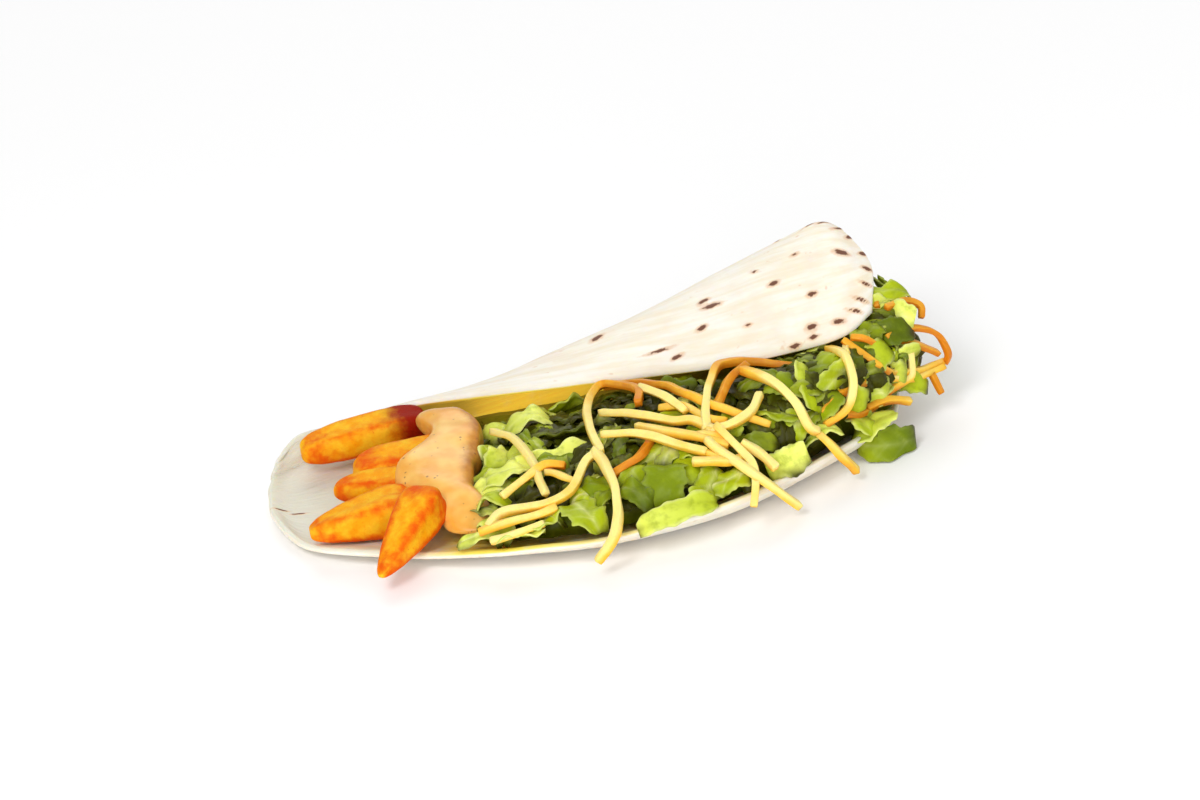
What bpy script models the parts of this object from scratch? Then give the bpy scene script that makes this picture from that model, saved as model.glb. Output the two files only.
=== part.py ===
"""Soft taco lying on its side: folded flour tortilla, potato wedges, sauce, lettuce with cheese.

The fold runs along +X at the back, the open side faces -Y, and +Z is up. The pieces are drawn in
millimetres in a working frame. At the end they are moved, so that the origin is the bottom centre.
"""
import math
from collections import namedtuple

import bmesh
import bpy
import numpy as np

MM = 0.001
THICK = 2.0                 # tortilla
RIM_SHARE = 0.6             # thickness left at its rim
FLOOR = THICK / 2           # middle of the sheet where it lies flat
GAP = 0.4                   # clearance between neighbouring pieces
WEDGE_POWER = 3.2           # shape of a wedge: 2 is round, more is boxier
WEDGE_WEAR = 0.07           # how far the edges of a wedge stand out, as a share of its size
SHRED = 1.35                # radius of a shred of cheese
SHRED_SINK = 3.2            # how far the ends of a shred go under the heap's face
SHRED_ARCH = 6.2            # least rise of the middle of a shred over its ends
LEAF = 1.1                  # thickness of a lettuce leaf
LEAF_WAVE = 0.8             # half the height of a leaf's waves
CORE_DEPTH = 2.6            # how far the packed middle stays under the face of the heap
CORE_GAP = 1.3              # clearance of the packed middle from the tortilla
CORE_STATIONS = (-30, -17, -4, 9, 22, 35, 48, 58, 67, 74)   # x of its cross sections
SLOPE = math.radians(25)    # heights on the heap's face are measured square to this slope
SHEET_U, SHEET_V = 28, 20   # cells of the tortilla along and across

# A cross section of the tortilla at x: (y, z) of the front rim, the rearmost point of the wall, the
# ridge and the free edge of the flap; then the floor's height, how far the flap bulges between ridge
# and edge, and how far the floor, the ridge and the flap stand off x.
Section = namedtuple("Section", "x rim wall ridge edge floor bulge bow lean flare",
                     defaults=(FLOOR, 1, 0, 0, 0))
SECTIONS = [
    Section(-79.6, (-31, 3.6), (1, 4.7), (4.5, 5.4), (7.2, 6), 4.0, 0, -3.3, -1.2, -0.6),
    Section(-73.8, (-42, 3.2), (9, 4.2), (12.5, 6), (15.5, 8), 1.4, 0, -3.1, -1.2, -0.6),
    Section(-62, (-51.5, 4.2), (17, 4.6), (17.8, 6.6), (16.5, 8.7), FLOOR, 0.3, -0.9),
    Section(-45, (-60.5, 4.4), (17.6, 6.2), (17, 9.6), (12, 12.2), FLOOR, 0.5),
    Section(-26, (-69.5, 6.2), (18.8, 7.5), (16, 12.3), (2.5, 15.8)),
    Section(-5, (-75, 7), (19.5, 10), (12.5, 19.2), (-9, 19.8)),
    Section(15, (-74, 7.8), (20.5, 12.5), (12, 24.8), (-15, 21.6), FLOOR, 2),
    Section(34, (-69.5, 8.8), (21.5, 15.5), (12, 31), (-23, 24), FLOOR, 3.2),
    Section(54, (-56.5, 8.6), (22, 18.5), (13, 37.6), (-25.5, 25.8), FLOOR, 5),
    Section(68.8, (-43, 7.2), (21.5, 22), (11.5, 42.8), (-27, 28.6), 1.4, 4, 2.8, -2.2, 1.1),
    Section(76.8, (-33, 5.8), (20.5, 22), (9.5, 41.8), (-20, 30.2), 3.6, 1.5, 4, -4.2, 2.1),
]

# The visible face of the heap at x: its foot behind the front rim, its top under the flap's edge,
# how far it bulges between them, and how high the heap is where it meets the wall.
Face = namedtuple("Face", "x foot top bulge back")
FACES = [
    Face(-32, (-66, 7), (3, 8.8), 4, 3.4),
    Face(-5, (-73, 8.6), (-6, 12.8), 5, 3.4),
    Face(15, (-72, 9.4), (-12, 18), 6, 5),
    Face(34, (-67.5, 10.4), (-21, 21.5), 6, 11),
    Face(54, (-54.5, 10.2), (-24, 23.3), 7, 20),
    Face(68, (-42, 9), (-25.5, 26), 8, 28),
    Face(80, (-29, 8), (-8, 31.5), 8, 17),
    Face(92, (-17, 7), (-6, 27), 5, 14),
]
BACK = 19                   # y of the wall, where the heap has that height

# A potato wedge: its middle, half its length, width and height, turn and pitch in degrees, how much
# its left end narrows, and how far its middle bows.
Wedge = namedtuple("Wedge", "middle half turn pitch narrow bow")
WEDGES = [
    Wedge((-57, 2.2, 9.0), (15.8, 6.3, 5.9), 11, 0, 0.05, 0.5),
    Wedge((-45.5, -13.8, 8.6), (14.2, 6.9, 6.3), -5, 0, 0.06, 0.4),
    Wedge((-53.6, -26.2, 8.0), (13.0, 5.8, 5.6), -24, -3, 0.42, 2.0),
    Wedge((-59.8, -41.0, 8.0), (14.4, 6.8, 6.0), 0, 2, 0.50, -1.4),
    Wedge((-48.9, -57.6, 10.6), (15.8, 5.9, 5.0), 57, 19, 0.66, 0.4),
]

# Stations of the sauce from the back to the front: x, y, z, half width and half height.
SAUCE = [
    (-37.6, 4, 11.6, 6.0, 3.2), (-35.8, -4, 13.6, 6.6, 4.0), (-33.6, -13, 14.2, 7.4, 4.4),
    (-35.2, -21, 14.0, 9.8, 4.4), (-38.0, -29, 13.0, 11.2, 4.4), (-38.0, -36, 12.2, 9.4, 4.2),
    (-35.6, -44, 11.0, 5.6, 4.0), (-33.6, -52, 9.8, 6.0, 3.8), (-32.0, -60, 8.4, 7.6, 3.2),
]

# Shreds of cheese as (x, height on the heap's face). Both ends go into the heap, but for the
# hanging ones, whose last point is free.
SHREDS = [
    [(3, -6), (1.5, -1), (1.5, 5), (5, 9), (10, 9), (15, 7), (14.5, 4)],
    [(4.5, 4), (14, 1.5), (22, -1.5), (27, -2)],
    [(4, -2), (13, -3.5), (21, -7), (29, -10)],
    [(13, -0.5), (20, -3.5), (28, -6), (34.5, -9)],
    [(7, 11), (15, 9.5), (22, 7.5), (28, 4), (35, 0), (46, -5)],
    [(15.5, 7.5), (21, 4), (25.5, 0)],
    [(54, 10.5), (46, 10.5), (39, 10), (35, 8.5), (31, 1.5), (30, -4.5)],
    [(43, 9.5), (38.5, 7), (35.5, 3.5), (33.5, 1)],
    [(41.5, 7.5), (48.5, 3.5), (53, -1), (55.5, -7), (57.5, -10)],
    [(64, 12), (67.5, 8), (68.5, 3.5), (66, -2), (59.5, -8)],
    [(45, 2), (41.5, -2), (36, -4.5), (30, -4.5)],
    [(38, -8.5), (41.5, -12), (45.5, -16.5)],
    [(25, -11.5), (33.5, -13), (38, -12.5)],
    [(-23.5, 3.5), (-18, 0), (-14.5, -6), (-12.5, -14)],
    [(-23.5, -13), (-17, -10), (-11.5, -7.5), (-6.5, -8)],
    [(-28, -19), (-23.5, -16.5), (-12.5, -16.5), (-6, -14), (-1.5, -8), (1.5, -6)],
    [(-11.5, -8), (-9, -9.5), (-4, -12)],
    [(69, 15.5), (68, 8.5)],
    [(68, 11.5), (75.5, 6.5), (80, 3)],
    [(71, -5.5), (77, -5), (82.5, -5.5)],
    [(16, 1), (10, -5), (8, -11), (12, -14)],
    [(72, 2), (64, 0), (59, -3.5)],
    [(-30.5, -19.6), (-24, -19), (-15.3, -18.4), (-10, -17)],
    [(70, 12), (74, 11.5), (78.5, 9)],
    [(24, -7.5), (29, -10), (33, -12.5)],
]
HANGING = [
    [(32.5, -4), (35.5, -8), (38, -12), (40, -16.5), (38, -23)],
    [(29.5, -7), (34, -12), (39.5, -17.5), (46, -21.5), (49.5, -25.5)],
    [(1.5, -5.5), (4, -11.5), (5, -18), (3.5, -24), (0.5, -27), (-2.5, -29.5)],
    [(57.5, -10), (59.5, -12.5), (62.5, -15.5), (65.5, -19)],
    [(75.5, -3.5), (81.5, 0.5), (84, 4), (84.5, 9)],
    [(78.5, 4.5), (85.5, 4), (93, 3.5)],
    [(78, 3), (84.5, 2.5), (93, 1)],
    [(79, 12), (84.5, 12.8), (88.5, 12.6), (92.6, 11), (94.4, 7.2), (93.8, 2)],
    [(79, 12), (86, 10), (92, 7)],
    [(80, 4), (87, 2.5), (89, 0), (91, -4.5)],
    [(80.5, 18.5), (86, 18.8), (89.5, 17.4), (89.2, 15)],
]

# Lettuce leaves: x, height on the heap's face, width, length, angle on the face in degrees.
LEAVES = [
    (-14, 6, 8.5, 14, 10), (-4, 9.5, 4, 11, 30), (-9, -3, 5, 19, 5), (-21.5, -6, 8.5, 15, 15),
    (-25.5, -12, 6, 10, -20), (-22.5, -1, 6, 10, 60), (-4, -18.5, 9.5, 13, -60), (19, -22, 6, 21, 12),
    (17.5, -14, 11, 13, 80), (-20.5, -20.5, 4.5, 13, 5), (9.5, -16, 6, 11, -40), (57, 3.5, 4.5, 14.5, -85),
    (64, 4, 6, 11, 40), (73, 1.5, 7.5, 11.5, -50), (80.5, 7, 5.5, 14, 10), (81, 18, 7.5, 14, -30),
    (68.5, -7, 6, 11.5, -60), (74.5, -14, 9, 15, -5), (48.5, -14, 6.5, 11.5, 20),
    (58, -9.5, 4, 12, 15), (24, 8.5, 5, 12.5, 10), (45.5, 6, 4.5, 12.5, 0), (48.5, -2, 5, 11.5, -20),
    (60, -2.5, 5.5, 11.5, 30), (-3.5, 2, 5, 12.5, -10), (82, 0, 5.5, 12, -15), (41.5, -9, 5, 11.5, 0),
    (-13.5, -18, 6.5, 12, 35), (28, -16.5, 6.5, 13, 60), (28, 0.5, 6, 12, 70),
    (81, 22, 6, 13, 15), (72, -9, 6.5, 13, 30), (80, 13, 7.5, 13, 5),
]

COLOURS = {
    "tortilla": (0.86, 0.80, 0.68),
    "potato_wedge": (0.83, 0.33, 0.04),
    "sauce": (0.88, 0.55, 0.26),
    "lettuce_cheese": (0.36, 0.52, 0.08),
}


def curve_through(points, count, bend=0.0):
    """Lay count + 1 points along a smooth curve through the given ones.

    They are evenly spaced, but for bend mm more of curve for each radian that it turns.
    """
    pts = np.asarray(points, float)
    ext = np.vstack([2 * pts[0] - pts[1], pts, 2 * pts[-1] - pts[-2]])
    t = np.linspace(0, 1, 9)[:-1][:, None]
    spans = [catmull_rom(*four, t) for four in zip(ext[:-3], ext[1:-2], ext[2:-1], ext[3:])]
    fine = np.vstack(spans + [pts[-1:]])
    step = np.diff(fine, axis=0)
    size = np.linalg.norm(step, axis=1)
    heading = step / np.maximum(size, 1e-9)[:, None]
    turn = np.arccos(np.clip((heading[1:] * heading[:-1]).sum(1), -1, 1))
    length = np.r_[0, np.cumsum(size + bend * np.r_[turn, 0])]
    want = np.linspace(0, length[-1], count + 1)
    return np.stack([np.interp(want, length, column) for column in fine.T], -1)


def catmull_rom(a, b, c, d, t):
    """The point at t from 0 to 1 between b and c, on a smooth curve through a, b, c and d."""
    return 0.5 * (2 * b + (c - a) * t + (2 * a - 5 * b + 4 * c - d) * t**2 + (3 * b - a - 3 * c + d) * t**3)


def section_line(section, count):
    """Points of one cross section of the tortilla, from its front rim to the edge of the flap."""
    s = section
    (rim_y, rim_z), (wall_y, wall_z) = s.rim, s.wall
    span = wall_y - rim_y
    heel = wall_y - max(0.9 * (wall_z - s.floor) + 1, 0.2 * span)
    flat = rim_y + min(20, 0.4 * span)
    bowed = s.x + s.bow
    crown = (np.array(s.ridge) + np.array(s.edge)) / 2
    points = [
        (s.x, rim_y, rim_z),
        (s.x + 0.6 * s.bow, rim_y + min(9, 0.2 * span), s.floor + 0.25 * (rim_z - s.floor)),
        (bowed, flat, s.floor),
        (bowed, (flat + heel) / 2, s.floor),
        (bowed, heel, s.floor),
        (s.x + 0.7 * s.bow, wall_y - 0.27 * (wall_y - heel), s.floor + 0.3 * (wall_z - s.floor)),
        (s.x + (s.bow + s.lean) / 2, wall_y, wall_z),
        (s.x + s.lean, *s.ridge),
        (s.x + s.flare, crown[0], crown[1] + s.bulge),
        (s.x, *s.edge),
    ]
    return curve_through(points, count, bend=16)


def sheet_points(nu, nv):
    """Middle surface of the tortilla: its sections, joined smoothly along the fold."""
    rows = np.array([section_line(section, nv) for section in SECTIONS])
    ext = np.concatenate([2 * rows[:1] - rows[1:2], rows, 2 * rows[-1:] - rows[-2:-1]])
    u = np.linspace(0, len(rows) - 1, nu + 1)
    i = np.minimum(u.astype(int), len(rows) - 2)
    grid = catmull_rom(ext[i], ext[i + 1], ext[i + 2], ext[i + 3], (u - i)[:, None, None])
    grid[..., 2] = np.maximum(grid[..., 2], FLOOR)
    return grid


def object_from(name, bm):
    """Turn a bmesh in mm into an object, with its faces pointing out."""
    bmesh.ops.recalc_face_normals(bm, faces=bm.faces)
    bmesh.ops.scale(bm, vec=(MM, MM, MM), verts=bm.verts)
    mesh = bpy.data.meshes.new(name)
    bm.to_mesh(mesh)
    bm.free()
    obj = bpy.data.objects.new(name, mesh)
    bpy.context.scene.collection.objects.link(obj)
    return obj


def sheet_object(name, points, thickness):
    """A sheet through a grid of points, split into triangles, with Solidify on both its sides."""
    nu, nv = points.shape[0] - 1, points.shape[1] - 1
    bm = bmesh.new()
    bmesh.ops.create_grid(bm, x_segments=nu, y_segments=nv, size=1)
    for vert in bm.verts:
        i, j = round((vert.co.x + 1) * nu / 2), round((vert.co.y + 1) * nv / 2)
        vert.co = points[i, j]
    bmesh.ops.triangulate(bm, faces=bm.faces)
    obj = object_from(name, bm)
    solid = obj.modifiers.new("thickness", "SOLIDIFY")
    solid.thickness = thickness * MM
    solid.offset = 0
    return obj


def tortilla(name, extra=0.0):
    """The folded sheet, thinner at its rim; extra mm more all round makes it a cutter."""
    points = sheet_points(SHEET_U, SHEET_V)
    if extra:
        points[0] -= (points[1] - points[0]) * 0.3
        points[-1] += (points[-1] - points[-2]) * 0.3
        points[:, 0] -= (points[:, 1] - points[:, 0]) * 0.3
        points[:, -1] += (points[:, -1] - points[:, -2]) * 0.3
    obj = sheet_object(name, points, THICK + 2 * extra)
    if not extra:
        body = obj.vertex_groups.new(name="body")
        body.add(inner_vertices(obj.data), 1.0, "REPLACE")
        obj.modifiers["thickness"].vertex_group = "body"
        obj.modifiers["thickness"].thickness_vertex_group = RIM_SHARE
    return obj


def inner_vertices(mesh):
    """Numbers of the vertices of an open mesh that aren't on its rim."""
    bm = bmesh.new()
    bm.from_mesh(mesh)
    inner = [vert.index for vert in bm.verts if not vert.is_boundary]
    bm.free()
    return inner


def potato_wedge(name, wedge, extra=0.0):
    """A wedge: a sphere squared up into a block that narrows, bows and has three worn edges."""
    bm = bmesh.new()
    bmesh.ops.create_uvsphere(bm, u_segments=14, v_segments=11, radius=1)
    co = np.array([(vert.co.z, vert.co.x, vert.co.y) for vert in bm.verts])
    co /= (np.abs(co)**WEDGE_POWER).sum(1, keepdims=True)**(1 / WEDGE_POWER)
    along = co[:, 0].copy()
    co *= np.array(wedge.half) + extra
    worn = 1 + WEDGE_WEAR * np.cos(3 * np.arctan2(co[:, 2], co[:, 1]) + wedge.turn)
    co[:, 1:] *= (worn * (1 - wedge.narrow * 1.2 * (0.5 - 0.5 * along)**1.3))[:, None]
    co[:, 1] += wedge.bow * (1 - along**2)
    turn, pitch = math.radians(wedge.turn), math.radians(wedge.pitch)
    level = co[:, 0] * math.cos(pitch) - co[:, 2] * math.sin(pitch)
    height = co[:, 0] * math.sin(pitch) + co[:, 2] * math.cos(pitch)
    x = level * math.cos(turn) - co[:, 1] * math.sin(turn)
    y = level * math.sin(turn) + co[:, 1] * math.cos(turn)
    for vert, point in zip(bm.verts, np.stack([x, y, height], -1) + wedge.middle):
        vert.co = point
    bmesh.ops.triangulate(bm, faces=bm.faces)
    return object_from(name, bm)


def loft(name, rings):
    """A solid through matching rings of points, closed at both ends."""
    bm = bmesh.new()
    rows = [[bm.verts.new(point) for point in ring] for ring in rings]
    for low, high in zip(rows, rows[1:]):
        for k in range(len(low)):
            bm.faces.new((low[k - 1], low[k], high[k], high[k - 1]))
    for ring in (rows[0], rows[-1]):
        middle = bm.verts.new(np.mean([vert.co for vert in ring], axis=0))
        for k in range(len(ring)):
            bm.faces.new((ring[k - 1], ring[k], middle))
    bmesh.ops.triangulate(bm, faces=bm.faces)
    return object_from(name, bm)


def sauce(name, extra=0.0):
    """The sauce: a soft, lumpy band of changing width that runs forward over the wedges."""
    line = curve_through(SAUCE, 17)
    swell = np.sqrt(1 - np.abs(np.linspace(-0.97, 0.97, len(line)))**5)
    angle = np.linspace(0, 2 * math.pi, 14, endpoint=False)
    rings = []
    for (x, y, z, wide, high), grow in zip(line, swell):
        lump = 1 + 0.06 * np.sin(2 * angle + y * 0.35) + 0.05 * np.sin(3 * angle - y * 0.5)
        boxy = lump * (np.abs(np.cos(angle))**3 + np.abs(np.sin(angle))**3)**(-1 / 3)
        rings.append(np.stack([x + (wide * grow + extra) * np.cos(angle) * boxy, y + 0 * angle,
                               z + (high * grow + extra) * np.sin(angle) * boxy], -1))
    rings[0][:, 1] += extra
    rings[-1][:, 1] -= extra
    return loft(name, rings)


def face_line(x):
    """Points up the face of the heap at x: down in front of the rim, over it, and up to the flap."""
    places = [face.x for face in FACES]
    foot = np.array([np.interp(x, places, [face.foot[k] for face in FACES]) for k in (0, 1)])
    top = np.array([np.interp(x, places, [face.top[k] for face in FACES]) for k in (0, 1)])
    bulge = np.interp(x, places, [face.bulge for face in FACES])
    start = foot + (3, 2.6)
    run = top - start
    out = np.array([-run[1], run[0]]) / np.linalg.norm(run)
    t = np.linspace(0, 1, 13)[:, None]
    rise = start + run * t + out * bulge * 4 * t * (1 - t)
    hang = [(foot[0] - 5.6, 2.4), (foot[0] - 5.0, foot[1] - 2), (foot[0] - 2.6, foot[1] + 1.6)]
    line = np.vstack([hang, rise])
    return np.column_stack([np.full(len(line), x), line])


def on_heap(x, height, lift=0.0):
    """The point of the heap's face at x and the given height, its way up the face and its way out."""
    line = face_line(x)
    seen = line[:, 1] * math.sin(SLOPE) + line[:, 2] * math.cos(SLOPE)
    seen = np.maximum.accumulate(seen) + np.arange(len(seen)) * 1e-6
    step = np.gradient(line, axis=0)
    point = np.array([np.interp(height, seen, column) for column in line.T])
    up = np.array([np.interp(height, seen, column) for column in step.T])
    up /= np.linalg.norm(up)
    out = np.array([0, -up[2], up[1]])
    return point + out * lift, up, out


def shred(name, points, lifts):
    """A shred of cheese: a curve with a square bevel, made a mesh with its caps welded."""
    line = [on_heap(x, height, lift)[0] for (x, height), lift in zip(points, lifts)]
    line = curve_through(line, round(1.25 * len(points)))
    line[:, 2] = np.maximum(line[:, 2], SHRED + GAP)
    data = bpy.data.curves.new(name, "CURVE")
    data.dimensions = "3D"
    data.bevel_depth = SHRED * MM
    data.bevel_resolution = 0
    data.use_fill_caps = True
    spline = data.splines.new("POLY")
    spline.points.add(len(line) - 1)
    for target, point in zip(spline.points, line * MM):
        target.co = (*point, 1)
    obj = bpy.data.objects.new(name, data)
    bpy.context.scene.collection.objects.link(obj)
    mesh = evaluated_mesh(obj)
    bpy.data.objects.remove(obj)
    bm = bmesh.new()
    bm.from_mesh(mesh)
    bpy.data.meshes.remove(mesh)
    bmesh.ops.scale(bm, vec=(1 / MM, 1 / MM, 1 / MM), verts=bm.verts)
    bmesh.ops.remove_doubles(bm, verts=bm.verts, dist=0.01)
    bmesh.ops.triangulate(bm, faces=bm.faces)
    return object_from(name, bm)


def leaf(name, place, rng):
    """A thin wavy leaf on the heap, with one long side or both ends reaching down into it."""
    x, height, width, length, angle = place
    spot, up, out = on_heap(x, height)
    a = math.radians(angle)
    right = np.array([1.0, 0, 0])
    ahead = math.cos(a) * right + math.sin(a) * up
    sideways = -math.sin(a) * right + math.cos(a) * up
    s = np.linspace(-1, 1, 6)[:, None]
    t = np.linspace(-1, 1, 3)[None]
    wave = LEAF_WAVE * np.sin(3.4 * s + rng.uniform(0, 6)) * (0.4 + 0.6 * np.abs(t))
    side = rng.choice([-1, 1])
    if rng.uniform() < 0.5:
        lift = 2.0 + wave - 2.6 * (1 - side * t)**1.3 - 0.8 * s**4
    else:
        lift = 2.2 + wave - 6.6 * np.abs(s)**3 + 0.7 * side * t
    outline = t * np.sqrt(1 - 0.62 * s**2)
    points = (spot + s[..., None] * ahead * length / 2 + outline[..., None] * sideways * width / 2
              + lift[..., None] * out)
    points[..., 2] = np.maximum(points[..., 2], LEAF)
    return sheet_object(name, points, LEAF)


def heap_core(name):
    """The packed middle of the heap: it fills the fold and stops short of the tortilla."""
    grid = sheet_points(40, 44)
    normal = np.cross(np.gradient(grid, axis=0), np.gradient(grid, axis=1))
    inner = grid + normal / np.linalg.norm(normal, axis=-1, keepdims=True) * (THICK / 2 + CORE_GAP)
    rings = []
    for x in CORE_STATIONS:
        lining = np.array([[np.interp(x, inner[:, j, 0], inner[:, j, k]) for k in range(3)]
                           for j in range(3, 43, 4)])
        back = np.interp(x, [face.x for face in FACES], [face.back for face in FACES])
        top = face_line(x)[-1]
        share = (lining[:, 1] - top[1]) / (BACK - top[1])
        lining[:, 2] = np.minimum(lining[:, 2], top[2] + (back - top[2]) * np.maximum(share, 0))
        front = face_line(x)[4:-1:2][::-1] + (0, 0.4 * CORE_DEPTH, -CORE_DEPTH)
        rings.append(np.vstack([lining, front]))
    first, last = rings[0], rings[-1]
    start = first.mean(0) + (first - first.mean(0)) * (1, 0.8, 0.5) - (3, 0, 0)
    end = last.mean(0) + (last - last.mean(0)) * (1, 0.65, 0.65) + (7, 0, 0)
    return loft(name, [start] + rings + [end])


def evaluated_mesh(obj):
    """A new mesh of the object with its modifiers carried out."""
    return bpy.data.meshes.new_from_object(obj.evaluated_get(bpy.context.evaluated_depsgraph_get()))


def combine(base, others, operation):
    """Join the others to the base, or cut them from it, and keep only its largest body."""
    group = bpy.data.collections.new(f"{base.name}_{operation.lower()}")
    for obj in others:
        group.objects.link(obj)
    modifier = base.modifiers.new("combine", "BOOLEAN")
    modifier.operation = operation
    modifier.solver = "MANIFOLD"
    modifier.operand_type = "COLLECTION"
    modifier.collection = group
    mesh = evaluated_mesh(base)
    base.modifiers.clear()
    base.data = mesh
    bpy.data.collections.remove(group)
    keep_largest(mesh)


def keep_largest(mesh):
    """Drop the loose scraps and the closed hollows of a mesh."""
    bm = bmesh.new()
    bm.from_mesh(mesh)
    bmesh.ops.triangulate(bm, faces=bm.faces)
    bodies = []
    left = set(bm.faces)
    while left:
        body = {left.pop()}
        fresh = list(body)
        while fresh:
            face = fresh.pop()
            near = {other for edge in face.edges for other in edge.link_faces} & left
            left -= near
            body |= near
            fresh += near
        bodies.append(body)
    sizes = [sum(face.verts[0].co.dot(face.verts[1].co.cross(face.verts[2].co)) for face in body)
             for body in bodies]
    best = bodies[int(np.argmax(sizes))]
    bmesh.ops.delete(bm, geom=[face for face in bm.faces if face not in best], context="FACES")
    bm.to_mesh(mesh)
    bm.free()


def remove(objects):
    """Delete objects that were only needed to join or cut others."""
    for obj in objects:
        bpy.data.objects.remove(obj)


def dress(obj, colour, roughness):
    """Give the object its own material."""
    material = bpy.data.materials.new(f"{obj.name}_surface")
    material.use_nodes = True
    shader = material.node_tree.nodes["Principled BSDF"]
    shader.inputs["Base Color"].default_value = (*colour, 1)
    shader.inputs["Roughness"].default_value = roughness
    obj.data.materials.clear()
    obj.data.materials.append(material)


def centre(objects):
    """Move the meshes so that the origin is the bottom centre of the whole taco."""
    every = np.concatenate([[vert.co for vert in evaluated_mesh(obj).vertices] for obj in objects])
    low, high = every.min(0), every.max(0)
    shift = np.array([(low[0] + high[0]) / 2, (low[1] + high[1]) / 2, low[2]])
    for obj in objects:
        for vert in obj.data.vertices:
            vert.co = vert.co[0] - shift[0], vert.co[1] - shift[1], vert.co[2] - shift[2]


def main():
    """Build the pieces from the firmest to the softest; each later one is cut clear of the earlier."""
    for obj in list(bpy.data.objects):
        bpy.data.objects.remove(obj)

    pieces = [tortilla("tortilla")]
    cutters = [tortilla("tortilla_space", GAP)]
    for number, wedge in enumerate(WEDGES, 1):
        piece = potato_wedge(f"potato_wedge_{number}", wedge)
        combine(piece, cutters, "DIFFERENCE")
        pieces.append(piece)
        cutters.append(potato_wedge(f"wedge_space_{number}", wedge, GAP))
    pieces.append(sauce("sauce"))
    combine(pieces[-1], cutters, "DIFFERENCE")
    cutters.append(sauce("sauce_space", GAP))

    rng = np.random.default_rng(11)
    heap = heap_core("lettuce_cheese")
    fused = [leaf(f"leaf_{number}", place, rng) for number, place in enumerate(LEAVES)]
    for number, points in enumerate(SHREDS + HANGING):
        along = np.linspace(0, 1 if number < len(SHREDS) else 0.6, len(points))
        lifts = (SHRED_ARCH + 0.5 * (number % 3)) * np.sin(math.pi * along)**0.55 - SHRED_SINK
        fused.append(shred(f"shred_{number}", points, lifts))
    combine(heap, fused, "UNION")
    combine(heap, cutters, "DIFFERENCE")
    pieces.append(heap)

    remove(fused + cutters)
    centre(pieces)
    for piece in pieces:
        kind = piece.name.rstrip("_12345")
        dress(piece, COLOURS[kind], 0.45 if kind == "sauce" else 0.6)


main()
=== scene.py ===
"""Dress the soft taco: folded tortilla, potato wedges, sauce, lettuce and cheese.

Shapes are worked out in millimetres in a working frame, whose x runs along the fold, whose -y is the
open side and whose z is up. They are moved into the frame of the CAD model when they become meshes.
"""
import logging
import math
from dataclasses import dataclass
from enum import Enum
from typing import Callable, ClassVar

import bpy
import numpy as np
from mathutils import Euler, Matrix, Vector


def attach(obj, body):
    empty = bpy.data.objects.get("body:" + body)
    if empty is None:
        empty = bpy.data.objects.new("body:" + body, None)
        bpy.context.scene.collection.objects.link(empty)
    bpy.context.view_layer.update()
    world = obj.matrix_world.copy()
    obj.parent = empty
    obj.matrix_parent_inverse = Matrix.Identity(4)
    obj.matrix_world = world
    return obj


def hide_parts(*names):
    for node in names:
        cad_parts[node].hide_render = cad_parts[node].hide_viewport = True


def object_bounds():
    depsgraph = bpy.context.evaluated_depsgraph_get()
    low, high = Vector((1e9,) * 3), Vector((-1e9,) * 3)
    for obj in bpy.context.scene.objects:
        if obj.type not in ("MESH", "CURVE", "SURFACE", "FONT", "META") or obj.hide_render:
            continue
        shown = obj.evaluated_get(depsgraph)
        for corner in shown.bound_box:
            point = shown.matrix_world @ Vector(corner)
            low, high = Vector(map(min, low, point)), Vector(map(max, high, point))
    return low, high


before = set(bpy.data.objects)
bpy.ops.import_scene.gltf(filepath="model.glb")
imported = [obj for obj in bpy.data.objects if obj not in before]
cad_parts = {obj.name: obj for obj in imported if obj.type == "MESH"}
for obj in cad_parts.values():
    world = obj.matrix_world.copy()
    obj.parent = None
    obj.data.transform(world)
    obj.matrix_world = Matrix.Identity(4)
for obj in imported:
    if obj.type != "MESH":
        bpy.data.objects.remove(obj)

Array = np.ndarray
Socket = bpy.types.NodeSocket
Material = bpy.types.Material
Draws = np.random.Generator
Colour = tuple[float, float, float]
Axes = tuple[Array, Array, Array, Array]
log = logging.getLogger("taco")

MM = 0.001
WORK_ORIGIN = np.array((6.215, -29.476, 0.0))   # bottom centre of the CAD model in the working frame
THICK = 2.0                                     # thickness of the tortilla
RIM_SHARE = 0.6                                 # thickness left at its rim
FLOOR = THICK / 2                               # middle of the sheet where it lies flat
SLOPE = math.radians(25)                        # heights on the heap are measured square to this slope
BACK = 19.0                                     # y of the wall, where the heap has its back height
CORE_END = 7.0                                  # reach of the rounded right end of the heap's core
LEAF_GRID = (31, 15)                            # points along and across a leaf
SHRED_GRID = (13, 7)                            # points along and across a small shred
HALF_WORD = 0x7FFFFFFF                          # largest number of 31 bits
WORD = 0xFFFFFFFF                               # largest number of 32 bits
HASH = np.array((374761393, 668265263, 1440662683))   # large odd numbers that mix up the cells of noise
CAD_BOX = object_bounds()


# Sizes in mm, as in the CAD model, but for wedges and sauce, which lie up to 3 mm off theirs


@dataclass(frozen=True)
class Section:
    """A cross section of the tortilla at x, as (y, z) of its main points."""

    x: float
    rim: tuple[float, float]
    wall: tuple[float, float]
    ridge: tuple[float, float]
    edge: tuple[float, float]
    floor: float = FLOOR
    bulge: float = 1.0
    bow: float = 0.0
    lean: float = 0.0
    flare: float = 0.0


@dataclass(frozen=True)
class Toast:
    """A toasted spot: its place on the sheet from 0 to 1, its size in mm, its turn and its strength."""

    u: float
    v: float
    length: float
    width: float
    turn: float = 0.0
    strength: float = 1.0


@dataclass(frozen=True)
class Face:
    """The visible face of the heap at x: foot, top and bulge, and its height where it meets the wall."""

    x: float
    foot: tuple[float, float]
    top: tuple[float, float]
    bulge: float
    back: float


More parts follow.
